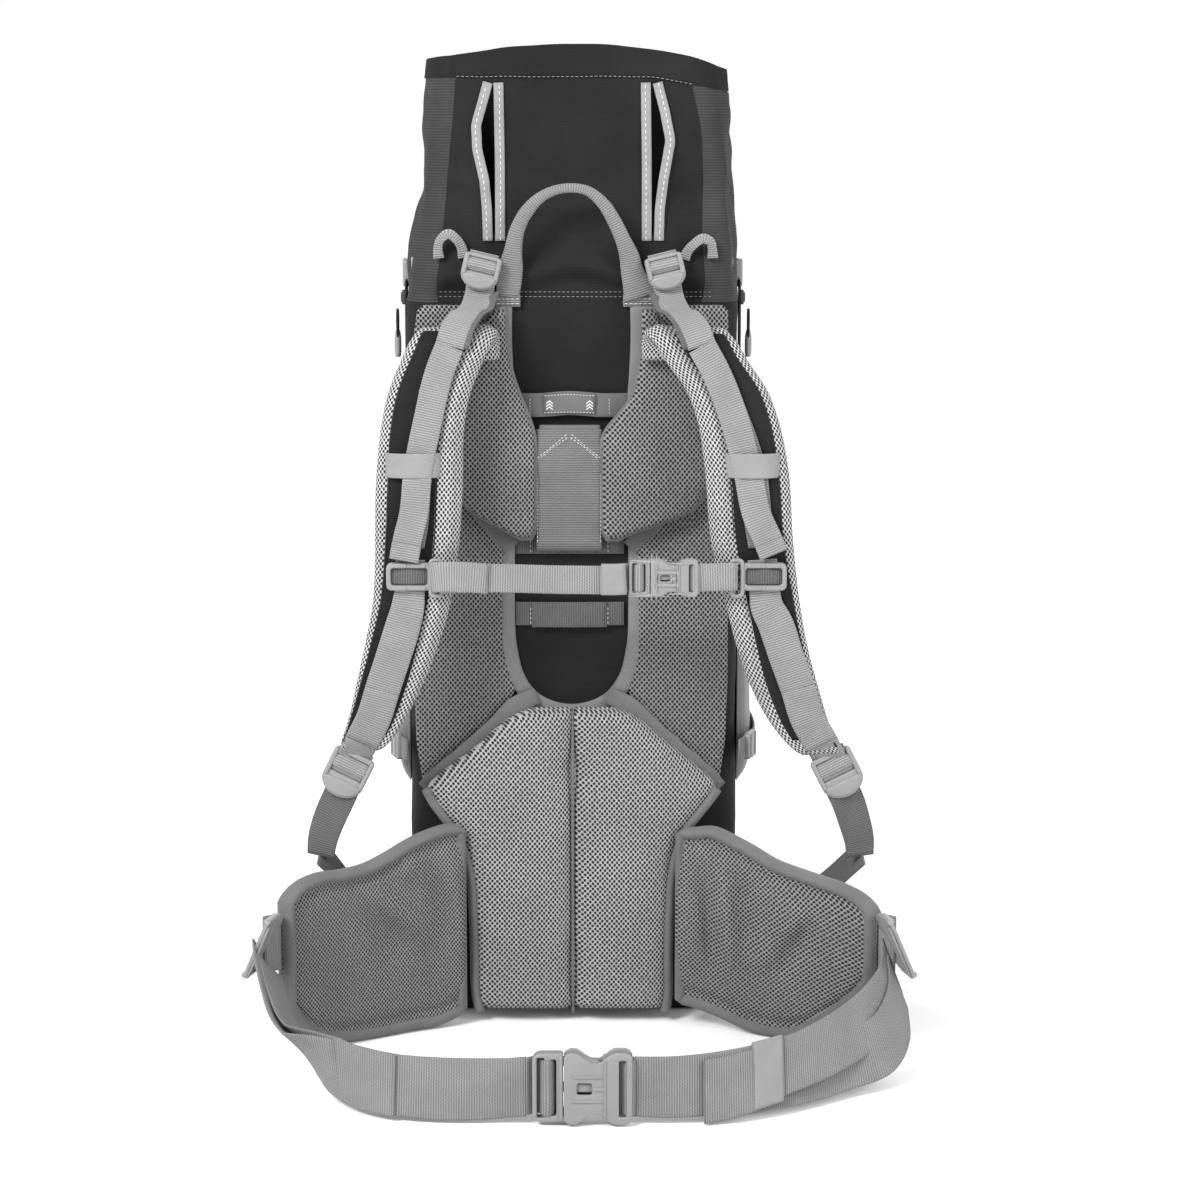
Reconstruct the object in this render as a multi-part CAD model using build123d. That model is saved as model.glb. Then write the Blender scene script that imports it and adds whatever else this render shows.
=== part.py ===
from build123d import *
import os

# Carrier backpack.  Millimetres, +Z up, origin at the middle of the flat base.
# +Y points away from the wearer; the face that lies on the wearer's back is at BACK_Y.
# A depth is a distance in front of that face, towards the wearer.

os.makedirs("parts", exist_ok=True)

# ---- driving sizes ----
BODY_W, BODY_D, BODY_H = 294.0, 230.0, 640.0
BACK_Y = -BODY_D / 2
CORNER_R = 45.0
SHELL = 4.0                      # thickness of the fabric-and-foam panels
COLLAR_TOP = 832.0               # where the hem band starts
COLLAR_W, COLLAR_D, COLLAR_R, COLLAR_Y = 258.0, 184.0, 40.0, -13.0
COLLAR_T = 3.0
HEM_TOP = 861.0
SLIT_Z = (697.0, 828.0)
SLITS = {"left": (-87.0, -58.0), "right": (62.0, 82.0)}
WEB = 25.0                       # shoulder and chest webbing
HIP_WEB = 50.0                   # hip belt webbing
WEB_T = 2.0
PAD_T = 13.0                     # shoulder pad thickness
WING_T = 16.0                    # hip wing thickness
LUMBAR_T = 36.0
STERNUM_Z = 414.0
RAIL_DEPTH = 92.0                # where the chest slider rides
CHEST_DEPTH = 99.5
HIP_DEPTH = 293.0
HIP_Z = 31.5

# Stations of the soft bands: x, depth, z, width.
SHOULDER = {
    "left": [(-93, 34, 596, 62), (-96, 38, 612, 64), (-98, 48, 619, 64), (-103, 59, 611, 66),
             (-112, 64, 590, 68), (-122, 69, 567, 66), (-128, 73, 535, 66), (-130, 77, 494, 71),
             (-133, 80, 440, 73), (-135, 80, 388, 71), (-151, 77, 343, 62), (-167, 72, 292, 50),
             (-181, 68, 258, 44)],
    "right": [(88, 34, 596, 62), (92, 38, 612, 64), (96, 48, 619, 64), (103, 59, 611, 66),
              (116, 64, 592, 68), (133, 69, 569, 65), (142, 73, 545, 66), (149, 77, 508, 68),
              (154, 80, 440, 70), (161, 80, 388, 68), (179, 77, 326, 62), (203, 71, 280, 51),
              (216, 68, 252, 44)],
}
RAIL = {
    "left": [(-117, 76.4, 572), (-121, 80.5, 545), (-126, 85, 503), (-134, 89, 455), (-138, RAIL_DEPTH, 442),
             (-138, RAIL_DEPTH, 386), (-141, 89, 372), (-152, 86, 343), (-167, 80.5, 292),
             (-178, 77, 264)],
    "right": [(129, 76.6, 572), (138, 80.5, 550), (148, 85, 508), (160, 89, 455), (163, RAIL_DEPTH, 442),
              (163, RAIL_DEPTH, 386), (167, 89, 372), (181, 86, 326), (204, 80, 280), (212, 77, 260)],
}
LIFTER = {
    "left": [(-78, 13, 668), (-79, 13, 648), (-83, 30, 634), (-91, 56, 631), (-98, 69, 621), (-112, 77, 590),
             (-123, 84, 540), (-128, 88.5, 500), (-132, 94, 466), (-139, 97, 446), (-142, 97.5, 431)],
    "right": [(81, 13, 668), (82, 13, 648), (87, 30, 634), (96, 56, 631), (105, 69, 621), (121, 77, 592),
              (138, 84, 545), (148, 88.5, 500), (157, 94, 466), (166, 97, 446), (170, 97.5, 431)],
}
LOWER = {
    "left": [(-206, 65, 209), (-216, 62, 193), (-221, 57, 165), (-219, 52, 140), (-200, 30, 105),
             (-172, 4, 75), (-153, -14, 55), (-152, -24, 48)],
    "right": [(242, 65, 209), (249, 62, 193), (253, 57, 165), (250, 52, 140), (222, 30, 105),
              (180, 4, 75), (153, -14, 55), (152, -24, 48)],
}
# Hip wings: x, depth, middle height, height.
WING = {
    "left": [(-103, 36, 83, 134), (-125, 44, 87, 158), (-150, 56, 80, 154), (-180, 74, 77, 146),
             (-210, 94, 76, 142), (-236, 118, 80, 110), (-250, 138, 84, 64)],
    "right": [(101, 36, 82, 134), (127, 44, 86, 158), (155, 56, 79, 148), (188, 74, 78, 142),
              (220, 94, 83, 122), (248, 118, 91, 78), (263, 136, 95, 44)],
}
HIP = {
    "left": [(-264, 184, 84), (-258, 202, 72), (-236, 228, 54), (-200, 250, 42), (-150, 272, 33),
             (-110, 283, 28), (-70, 290, 28), (-33, HIP_DEPTH, HIP_Z)],
    "right": [(280, 182, 78), (277, 202, 62), (262, 224, 45), (235, 244, 34), (195, 262, 28),
              (121, 284, 27), (80, 291, 29), (52, HIP_DEPTH, HIP_Z)],
}


def save(name, shape):
    export_step(shape, f"parts/{name}.step")


def place(x, depth, z):
    """Point given by its distance in front of the wearer's face of the pack."""
    return Vector(x, BACK_Y - depth, z)


def block(x0, x1, y0, y1, z0, z1):
    return Pos((x0 + x1) / 2, (y0 + y1) / 2, (z0 + z1) / 2) * Box(x1 - x0, y1 - y0, z1 - z0)


def pane(x0, x1, depth0, depth1, z0, z1):
    return block(x0, x1, BACK_Y - depth1, BACK_Y - depth0, z0, z1)


def plate(outline, depth0, depth1):
    """Flat piece with its outline seen from the wearer's side (x, z)."""
    rim = Polyline(*[(x, BACK_Y - depth1, z) for x, z in outline], close=True)
    return extrude(make_face(rim), amount=depth1 - depth0, dir=(0, 1, 0))


def ribbon(path, across, widths, thick):
    """Band through the path points; across is the direction of its width."""
    sections = []
    for i, here in enumerate(path):
        along = path[min(i + 1, len(path) - 1)] - path[max(i - 1, 0)]
        along -= across * (across.dot(along) / across.dot(across))
        sections.append(Plane(origin=here, x_dir=across, z_dir=along) * Rectangle(widths[i], thick))
    return loft(sections, ruled=True)


def webbing(stations, across, width):
    path = [place(*s) for s in stations]
    return ribbon(path, across, [width] * len(path), WEB_T)


def ladder_lock(strap):
    """Webbing adjuster: two strap slots, grip ribs and a rounded thumb tab.
    Width along X, length along Y, thickness along Z, middle of the plate at the origin."""
    wide = strap + 8
    outline = RectangleRounded(wide, 26, 3) + Pos(0, 14) * RectangleRounded(wide * 0.72, 20, 8)
    body = extrude(outline, amount=4)
    for y in (-6.5, 3.5):
        body -= Pos(0, y, 2) * Box(strap + 1, 4.4, 8)
    for y in (15, 18, 21):
        body += Pos(0, y, 4.3) * Box(wide * 0.45, 1.1, 1.2)
    return Pos(0, 0, -2) * body


def buckle_female(long, high, thick, strap):
    """Side-release socket, open towards -X, with the strap bar at its +X end."""
    body = extrude(Plane.XZ * Pos(long / 2, 0) * RectangleRounded(long, high, high * 0.12), amount=thick / 2,
                   both=True)
    cavity = long * 0.62
    body -= Pos(cavity / 2 - 0.01, 0, 0) * Box(cavity, thick - 4, high - 9)
    for side in (-1, 1):
        body -= Pos(cavity * 0.55, 0, side * high / 2) * Box(cavity * 0.42, thick - 4, 14)
    body -= Pos(long * 0.35, -thick / 2, 0) * Box(long * 0.26, 6, high * 0.22)
    body -= Pos(long * 0.76, 0, 0) * Box(long * 0.12, thick * 2, strap + 1.5)
    return body


def buckle_male(long, high, thick, strap, reach):
    """Side-release plug: strap frame behind X = 0, guide tongue and two prongs in front."""
    body = extrude(Plane.XZ * Pos(-long / 2, 0) * RectangleRounded(long, high, high * 0.08), amount=thick / 2,
                   both=True)
    body -= Pos(-long * 0.62, 0, 0) * Box(long * 0.34, thick * 2, strap + 1.5)
    blade = thick - 5.5
    arm = high * 0.11
    body += Pos(reach * 0.42, 0, 0) * Box(reach * 0.84, blade, high * 0.16)
    for side in (-1, 1):
        outer = high / 2 - 6
        body += Pos(reach / 2, 0, side * (outer - arm / 2)) * Box(reach, blade, arm)
        body += Pos(reach * 0.72, 0, side * (outer - arm / 2)) * Box(reach * 0.34, blade, arm * 1.25)
    return body


def collar_solid(grow, z0=BODY_H, z1=COLLAR_TOP):
    low = Plane.XY.offset(z0) * RectangleRounded(BODY_W + 2 * grow, BODY_D + 2 * grow, CORNER_R + grow)
    high = Plane.XY.offset(z1) * Pos(0, COLLAR_Y) * RectangleRounded(
        COLLAR_W + 2 * grow, COLLAR_D + 2 * grow, COLLAR_R + grow)
    return loft([low, high])


# ---- bag body ----
outer = RectangleRounded(BODY_W, BODY_D, CORNER_R)
inner = RectangleRounded(BODY_W - 2 * SHELL, BODY_D - 2 * SHELL, CORNER_R - SHELL)
wall = Pos(0, 0, SHELL) * extrude(outer - inner, amount=BODY_H - SHELL)
flat = BODY_W / 2 - CORNER_R
save("base_panel", extrude(outer, amount=SHELL))
save("back_panel", wall & block(-flat, flat, -BODY_D, 0, 0, BODY_H))
save("front_panel", wall & block(-flat, flat, 0, BODY_D, 0, BODY_H))
save("side_panel_left", wall & block(-BODY_W, -flat, -BODY_D, BODY_D, 0, BODY_H))
save("side_panel_right", wall & block(flat, BODY_W, -BODY_D, BODY_D, 0, BODY_H))

# stiffening sheet and two stays behind the back panel
save("frame_sheet", pane(-95, 95, -SHELL - 2, -SHELL, 20, 625))
save("frame_stays", pane(-66, -54, -SHELL - 5, -SHELL - 2, 30, 615) + pane(54, 66, -SHELL - 5, -SHELL - 2, 30, 615))

# ---- open collar with two arm slits ----
collar = collar_solid(0) - collar_solid(-COLLAR_T)
slit_low = SLIT_Z[0]
save("collar_back_lower", collar & block(-100, 100, -BODY_D, -70, BODY_H, slit_low))
save("collar_back_centre", collar & block(SLITS["left"][1], SLITS["right"][0], -BODY_D, -70, slit_low, COLLAR_TOP))
save("collar_back_left", collar & block(-BODY_W, SLITS["left"][0], -BODY_D, -40, slit_low, COLLAR_TOP))
save("collar_back_right", collar & block(SLITS["right"][1], BODY_W, -BODY_D, -40, slit_low, COLLAR_TOP))
save("collar_front", collar - block(-100, 100, -BODY_D, -70, 0, slit_low)
     - block(-BODY_W, BODY_W, -BODY_D, -40, slit_low, 900))
hem = RectangleRounded(COLLAR_W + 3, COLLAR_D + 3, COLLAR_R + 1.5) - RectangleRounded(
    COLLAR_W - 7, COLLAR_D - 7, COLLAR_R - 3.5)
save("hem_band", Pos(0, COLLAR_Y, COLLAR_TOP) * extrude(hem, amount=HEM_TOP - COLLAR_TOP))
trim = collar_solid(1.6) - collar_solid(0.02)
binding = None
for left, right in SLITS.values():
    rim = block(left - 10, right + 10, -BODY_D, -100, SLIT_Z[0] - 8, COLLAR_TOP - 0.5)
    rim -= block(left, right, -BODY_D, -90, *SLIT_Z)
    binding = trim & rim if binding is None else binding + (trim & rim)
save("slit_bindings", binding)

# ---- back panel trim ----
for name, s in (("left", -1), ("right", 1)):
    save(f"back_mesh_{name}", plate([(s * 62, 638), (s * 134, 638), (s * 138, 217), (s * 62, 276)], 0.02, 6))
    save(f"lumbar_pad_{name}", fillet(
        (pad := plate([(s * 0.5, 278), (s * 46, 280), (s * 127, 211), (s * 97, 150), (s * 93, 140),
                       (s * 83, 8), (s * 0.5, 8)], 0.02, LUMBAR_T)).faces().sort_by(Axis.Y)[0].edges(), 7))
border = plate([(-61, 640), (-48, 640), (-48, 300), (-38, 290), (34, 290), (44, 300), (44, 640), (57, 640),
                (57, 296), (42, 281.5), (-46, 281.5), (-61, 296)], 0.02, 5)
save("window_border", border)
save("slot_bands", pane(-47, 43, 0.02, 4, 422, 446) + pane(-47, 43, 0.02, 4, 356, 376))
save("arrow_tag", pane(-43.5, 43, 0.02, 2.5, 543, 562))
loops = None
for x, z in ((-95, 680), (109, 676)):
    loop = pane(x - 8, x + 8, -2, 9, z, z + 24) - pane(x - 9, x + 9, -3, 6.8, z + 4, z + 20) - collar_solid(1.7)
    loops = loop if loops is None else loops + loop
save("gear_loops", loops)

# ---- pockets and side straps ----
save("front_pocket", fillet((bag := block(-95, 95, 115.02, 133, 50, 430)).faces().sort_by(Axis.Y)[-1].edges(), 12))
straps = []
for name, s in (("left", -1), ("right", 1)):
    pocket = block(147.05, 163, -72, 55, 205, 332)
    pocket -= block(146, 160, -69, 52, 209, 336)
    save(f"side_pocket_{name}", pocket if s > 0 else mirror(pocket, Plane.YZ))
    x0, x1 = sorted((s * 147.2, s * 149.4))
    straps.append(block(x0, x1, -72, 70, 652, 672))
save("compression_straps", straps[0] + straps[1])

# ---- harness ----
LOBE = [(30, 432), (62, 432), (88, 454), (97, 489), (98, 533), (90, 576), (76, 614), (60, 636), (46, 614),
        (42, 560), (29, 548)]
for name, s, shift in (("left", -1, -1.5), ("right", 1, 1.5)):
    save(f"yoke_pad_{name}", plate([(s * x + shift * (x > 45), z) for x, z in LOBE], 14, 26))
save("yoke_strap", pane(-28.7, 28.7, 12, 18, 420, 530))

for name, s in (("left", -1), ("right", 1)):
    stations = SHOULDER[name]
    save(f"shoulder_pad_{name}", ribbon([place(*p[:3]) for p in stations], Vector(1, 0, 0),
                                        [p[3] for p in stations], PAD_T))
    save(f"rail_webbing_{name}", webbing(RAIL[name], Vector(1, 0, 0), WEB))
    save(f"lifter_webbing_{name}", webbing(LIFTER[name], Vector(1, 0, 0), WEB))
    save(f"lower_webbing_{name}", webbing(LOWER[name], Vector(1, 0.9 * s, 0), WEB))
    # lower adjuster hangs from the end of the pad
    x = {"left": -194.0, "right": 229.5}[name]
    hang = Plane(origin=place(x, 66, 232), x_dir=(43, 0, s * 24), z_dir=(0, -1, 0))
    save(f"lower_lock_{name}", hang * Rot(0, 0, 180) * ladder_lock(WEB))
    x = {"left": -76.0, "right": 79.0}[name]
    hold = Plane(origin=place(x, 19, 670), x_dir=(1, 0, 0), z_dir=(0, -1, 0)) * Rot(0, 0, 180)
    save(f"lifter_lock_{name}", hold * ladder_lock(WEB))
    # chest strap slider
    x = {"left": -138.0, "right": 163.0}[name]
    slider = fillet(pane(x - 18, x + 18, RAIL_DEPTH - 4, RAIL_DEPTH + 4, STERNUM_Z - 11, STERNUM_Z + 11).edges(), 1.5)
    slider -= pane(x - 14, x + 14, RAIL_DEPTH - 2, RAIL_DEPTH + 2, STERNUM_Z - 30, STERNUM_Z + 30)
    save(f"sternum_slider_{name}", slider)

chest = place(67, CHEST_DEPTH, STERNUM_Z)
save("sternum_webbing_left", pane(-150, 47.5, CHEST_DEPTH - 1, CHEST_DEPTH + 1, STERNUM_Z - 12.5, STERNUM_Z + 12.5))
save("sternum_webbing_right", pane(108, 176, CHEST_DEPTH - 1, CHEST_DEPTH + 1, STERNUM_Z - 12.5, STERNUM_Z + 12.5))
save("sternum_female", Pos(*chest) * buckle_female(40, 32, 11, WEB))
save("sternum_male", Pos(*chest) * Pos(-0.4, 0, 0) * buckle_male(18, 30, 9, WEB, 22))

# ---- hip belt ----
UP = Vector(0, 0, 1)
for name, s in (("left", -1), ("right", 1)):
    save(f"hip_pad_{name}", ribbon([place(*p[:3]) for p in WING[name]], UP, [p[3] for p in WING[name]], WING_T))
    save(f"hip_webbing_{name}", webbing(HIP[name], UP, HIP_WEB))
    x, run = {"left": (-257.5, -0.25), "right": (271.5, 0.3)}[name]
    tip = Plane(origin=place(x, 157, {"left": 94, "right": 90}[name]), x_dir=(0, 0, 1), z_dir=(s * 0.97, -abs(run), 0))
    save(f"hip_adjuster_{name}", tip * Rot(0, 0, 180 if s > 0 else 0) * Pos(0, -5, 0) * ladder_lock(HIP_WEB))
hip = place(-5, HIP_DEPTH, HIP_Z)
save("hip_female", Pos(*hip) * buckle_female(55, 60, 16, HIP_WEB))
save("hip_male", Pos(*hip) * Pos(-0.4, 0, 0) * buckle_male(25, 60, 12, HIP_WEB, 32))

# ---- grab handle ----
arch = [(-41, 8, 652), (-38, 14, 691), (-25, 22, 719), (-6, 27, 733), (14, 27, 733), (33, 22, 719), (46, 14, 691),
        (49, 8, 652)]
save("grab_handle", ribbon([place(*p) for p in arch], Vector(0, 1, 0), [9, 9, 10, 11, 11, 10, 9, 9], 8))

# ---- side zips ----
for name, s in (("left", -1), ("right", 1)):
    x0, x1 = sorted((s * 147.3, s * 152.5))
    save(f"zip_slider_{name}", fillet(block(x0, x1, -60, -50, 634, 648).edges(), 1.2))
    x0, x1 = sorted((s * 153, s * 159))
    pull = fillet(block(x0, x1, -59, -51, 586, 632).edges(), 2)
    save(f"zip_pull_{name}", pull)
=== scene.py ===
import bpy
import math
import numpy as np
import bmesh
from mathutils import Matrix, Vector, noise

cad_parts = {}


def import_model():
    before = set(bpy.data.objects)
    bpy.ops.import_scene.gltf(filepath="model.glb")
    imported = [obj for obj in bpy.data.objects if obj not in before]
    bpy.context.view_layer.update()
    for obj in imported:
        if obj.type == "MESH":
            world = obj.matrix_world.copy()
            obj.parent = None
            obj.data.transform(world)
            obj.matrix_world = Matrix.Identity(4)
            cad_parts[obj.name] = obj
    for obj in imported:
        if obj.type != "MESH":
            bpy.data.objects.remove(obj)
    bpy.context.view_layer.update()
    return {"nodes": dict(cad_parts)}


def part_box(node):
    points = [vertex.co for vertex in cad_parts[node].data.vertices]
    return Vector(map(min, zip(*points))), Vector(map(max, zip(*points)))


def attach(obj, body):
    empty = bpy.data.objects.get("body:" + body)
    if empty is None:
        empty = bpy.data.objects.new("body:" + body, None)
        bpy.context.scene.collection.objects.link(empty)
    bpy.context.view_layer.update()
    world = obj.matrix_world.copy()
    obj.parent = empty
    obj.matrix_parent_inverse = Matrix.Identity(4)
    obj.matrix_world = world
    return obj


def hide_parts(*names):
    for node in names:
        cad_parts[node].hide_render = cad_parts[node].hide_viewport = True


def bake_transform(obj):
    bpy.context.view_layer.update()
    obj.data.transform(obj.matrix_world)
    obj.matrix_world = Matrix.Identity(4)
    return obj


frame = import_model()
RIGHT = 1
LEFT = -1
SIDES = (("left", LEFT), ("right", RIGHT))
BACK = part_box("back_panel")[0][1]           # the face that lies on the wearer's back
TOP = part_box("hem_band")[1][2]


# ------------------------------------------------------------------ shapes
def at(x, depth, z):
    """Point in metres from millimetres: depth is measured towards the wearer."""
    return np.array([x / 1000, BACK - depth / 1000, z / 1000])


def route(points, count):
    """Smooth interpolation through rows of numbers; the first three are x, depth, z."""
    p = np.array(points, float)
    t = np.r_[0, np.cumsum(np.linalg.norm(np.diff(p[:, :3], axis=0), axis=1))]
    m = np.gradient(p, t, axis=0)
    s = np.linspace(0, t[-1], count)
    i = np.clip(np.searchsorted(t, s) - 1, 0, len(t) - 2)
    h = (t[i + 1] - t[i])[:, None]
    u = (s - t[i])[:, None] / h
    return ((2 * u**3 - 3 * u**2 + 1) * p[i] + (u**3 - 2 * u**2 + u) * h * m[i]
            + (3 * u**2 - 2 * u**3) * p[i + 1] + (u**3 - u**2) * h * m[i + 1])


def world(rows):
    rows = np.asarray(rows, float)
    out = rows[:, :3] / 1000
    out[:, 1] = BACK - rows[:, 1] / 1000
    return out


def unit(v):
    return v / np.maximum(np.linalg.norm(v, axis=-1, keepdims=True), 1e-9)


def make(name, verts, faces, uvs=None, mat=None, smooth=True, face_mat=None):
    mesh = bpy.data.meshes.new(name)
    mesh.from_pydata([tuple(v) for v in verts], [], [tuple(int(i) for i in f) for f in faces])
    mats = mat if isinstance(mat, (list, tuple)) else [mat]
    for m in mats:
        if m is not None:
            mesh.materials.append(m)
    if uvs is not None:
        layer = mesh.uv_layers.new(name="UVMap")
        index = np.empty(len(mesh.loops), int)
        mesh.loops.foreach_get("vertex_index", index)
        layer.data.foreach_set("uv", np.asarray(uvs, float)[index].ravel())
    mesh.polygons.foreach_set("use_smooth", [smooth] * len(mesh.polygons))
    if face_mat is not None:
        mesh.polygons.foreach_set("material_index", [int(k) for k in face_mat])
    mesh.update()
    obj = bpy.data.objects.new(name, mesh)
    bpy.context.collection.objects.link(obj)
    return obj


def quads(rows, cols, wrap):
    """Faces of a grid whose columns may close round."""
    last = cols if wrap else cols - 1
    r = np.arange(rows - 1)[:, None]
    c = np.arange(last)[None, :]
    n = (c + 1) % cols
    f = np.stack([r * cols + c, r * cols + n, (r + 1) * cols + n, (r + 1) * cols + c], -1)
    return f.reshape(-1, 4)


def skin(name, rings, uv, mat, caps=True, **more):
    """Closed skin through rings of points, shape (rows, cols, 3)."""
    rows, cols = rings.shape[:2]
    faces = [tuple(f) for f in quads(rows, cols, True)]
    if caps:
        faces.append(tuple(range(cols))[::-1])
        faces.append(tuple((rows - 1) * cols + k for k in range(cols)))
    return tidy(make(name, rings.reshape(-1, 3), faces, uv.reshape(-1, 2), mat, **more))


def tidy(obj):
    """Makes all faces look outwards."""
    bm = bmesh.new()
    bm.from_mesh(obj.data)
    bmesh.ops.recalc_face_normals(bm, faces=bm.faces)
    bm.to_mesh(obj.data)
    bm.free()
    return obj


def frames(path, across, face, fixed):
    """Sideways and outward directions along a path; outward looks towards face on the whole."""
    tangent = unit(np.gradient(path, axis=0))
    side = np.broadcast_to(unit(np.asarray(across, float)), path.shape)
    if not fixed:
        side = unit(side - tangent * (side * tangent).sum(1, keepdims=True))
    out = unit(np.cross(side, tangent))
    if (out @ np.asarray(face, float)).mean() < 0:
        side, out = -side, -out
    return side, out


def length_along(path):
    return np.r_[0, np.cumsum(np.linalg.norm(np.diff(path, axis=0), axis=1))]


def tape(name, stations, width, mat, across=(1, 0, 0), face=(0, -1, 0), thick=1.8, step=4.0, wave=0.0,
         seed=0.0, crown=0.0, fixed=False):
    """Flat webbing or tape along stations (x, depth, z[, width]) in millimetres."""
    total = length_along(np.array(stations, float)[:, :3])[-1]
    rows = route(stations, max(6, int(total / step)))
    path = world(rows)
    if callable(across):
        across = across(path)
    side, out = frames(path, across, face, fixed)
    w = (rows[:, 3] if rows.shape[1] > 3 else np.full(len(rows), width)) / 2000
    d = length_along(path)
    s = np.array([-1, -0.985, -0.9, -0.6, -0.25, 0.25, 0.6, 0.9, 0.985, 1])
    t = np.array([0.0, 0.7, 1, 1, 1, 1, 1, 1, 0.7, 0.0])
    loop_s = np.r_[s, s[-2:0:-1]]
    loop_t = np.r_[t, -t[-2:0:-1]] * thick / 2000
    ripple = np.array([noise.noise(Vector((x * 18, seed, 3.1))) for x in d]) * wave / 1000
    bulge = (1 - loop_s**2)[None, :] * crown / 1000
    rings = (path[:, None] + side[:, None] * (loop_s[None, :, None] * w[:, None, None])
             + out[:, None] * (loop_t[None, :] + ripple[:, None] * (0.6 + 0.4 * loop_s[None, :])
                               + bulge)[..., None])
    uv = np.stack(np.broadcast_arrays(loop_s[None, :] * w[:, None], d[:, None]), -1)
    return skin(name, rings, uv, mat)


def pad_rings(stations, thick, step=5.0, across=(1, 0, 0), face=(0, -1, 0), front=2.6, rear=2.6,
              rear_keep=1.0, ends=(14.0, 14.0), seg=44, shape=None, fixed=True):
    """Rings of a padded band: superellipse section, ends rounded off over ends millimetres.
    shape(s, d, total) gives extra front thickness in millimetres at side position s."""
    total = length_along(np.array(stations, float)[:, :3])[-1]
    rows = route(stations, max(8, int(total / step)))
    path = world(rows)
    if callable(across):
        across = across(path)
    side, out = frames(path, across, face, fixed)
    d = length_along(path)
    full = d[-1]
    w = rows[:, 3] / 2000
    th = (rows[:, 4] if rows.shape[1] > 4 else np.full(len(rows), thick)) / 2000
    round_off = np.ones(len(rows))
    for k, e in enumerate(ends):
        if e > 0:
            q = np.clip((d if k == 0 else full - d) / (e / 1000), 0, 1)
            round_off *= np.sqrt(np.clip(1 - (1 - q) ** 2, 0.0, 1)) * 0.97 + 0.03
    angle = np.linspace(0, 2 * np.pi, seg, endpoint=False)
    c, sn = np.cos(angle), np.sin(angle)
    n = np.where(sn >= 0, front, rear)
    s = np.sign(c) * np.abs(c) ** (2 / n)
    y = np.sign(sn) * np.abs(sn) ** (2 / n)
    y = np.where(y < 0, y * rear_keep, y)
    extra = np.zeros((len(rows), seg))
    if shape is not None:
        for i in range(len(rows)):
            extra[i] = [shape(a, d[i] * 1000, full * 1000) / 1000 if b >= 0 else 0 for a, b in zip(s, y)]
        extra *= np.clip(y, 0, 1)[None, :] ** 0.5
    edge = 0.86 + 0.14 * round_off
    rings = (path[:, None] + side[:, None] * (s[None, :, None] * (w * edge)[:, None, None])
             + out[:, None] * ((y[None, :] * (th * round_off)[:, None]
                                + extra * round_off[:, None])[..., None]))
    arc = s[None, :] * w[:, None] + np.sign(s)[None, :] * (1 - np.abs(y))[None, :] * 0.006
    uv = np.stack(np.broadcast_arrays(arc, d[:, None]), -1)
    return rings, uv, dict(path=path, side=side, out=out, d=d, w=w, th=th, rows=rows)


def pad(name, stations, thick, mat, **more):
    rings, uv, info = pad_rings(stations, thick, **more)
    return skin(name, rings, uv, mat), info


def piping(name, path, radius, mat, flat=1.0, across=(0, 1, 0), seg=8, closed=False):
    """Round or flattened bead along points in metres."""
    path = np.asarray(path, float)
    if closed:
        ext = np.vstack([path[-1:], path, path[:1]])
        tangent = unit(np.gradient(ext, axis=0))[1:-1]
    else:
        tangent = unit(np.gradient(path, axis=0))
    across = np.broadcast_to(np.asarray(across, float), path.shape)
    a = unit(across - tangent * (across * tangent).sum(1, keepdims=True))
    b = np.cross(tangent, a)
    q = np.linspace(0, 2 * np.pi, seg, endpoint=False)
    r = radius / 1000
    rings = (path[:, None] + a[:, None] * (np.cos(q) * r * flat)[None, :, None]
             + b[:, None] * (np.sin(q) * r)[None, :, None])
    d = length_along(path)
    uv = np.stack(np.broadcast_arrays((q * r)[None, :], d[:, None]), -1)
    if closed:
        rings = np.vstack([rings, rings[:1]])
        uv = np.vstack([uv, uv[:1]])
        return skin(name, rings, uv, mat, caps=False)
    return skin(name, rings, uv, mat)


def stitches(name, runs, mat, out=(0, -1, 0), stitch=2.6, gap=1.5, radius=0.38):
    """Thread dashes along runs, each a list of points in metres."""
    verts, faces = [], []
    for run in runs:
        run = np.asarray(run, float)
        d = length_along(run)
        pos = np.arange(0.0005, d[-1] - stitch / 1000, (stitch + gap) / 1000)
        for p0 in pos:
            ends = [np.array([np.interp(q, d, run[:, k]) for k in range(3)])
                    for q in (p0, p0 + stitch / 1000)]
            t = unit(ends[1] - ends[0])
            o = np.asarray(out, float)
            o = unit(o - t * (o @ t))
            b = np.cross(t, o)
            base = len(verts)
            r = radius / 1000
            for e, grow in ((0, 0.55), (0.18, 1), (0.82, 1), (1, 0.55)):
                c = ends[0] * (1 - e) + ends[1] * e
                for q in range(5):
                    a = q * 2 * math.pi / 5
                    verts.append(c + (b * math.cos(a) + o * math.sin(a)) * r * grow)
            for k in range(3):
                for q in range(5):
                    n = (q + 1) % 5
                    faces.append((base + k * 5 + q, base + k * 5 + n, base + k * 5 + 5 + n,
                                  base + k * 5 + 5 + q))
            faces.append(tuple(base + q for q in range(5))[::-1])
            faces.append(tuple(base + 15 + q for q in range(5)))
    return make(name, verts, faces, None, mat)


def in_plane(path):
    """Sideways direction of a flat band that bends within the plane facing the wearer."""
    return unit(np.cross(np.array([0.0, -1.0, 0.0]), unit(np.gradient(path, axis=0))))


def done(obj, body, replaces=()):
    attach(obj, body)
    if replaces:
        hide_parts(*replaces)
    return obj


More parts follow.
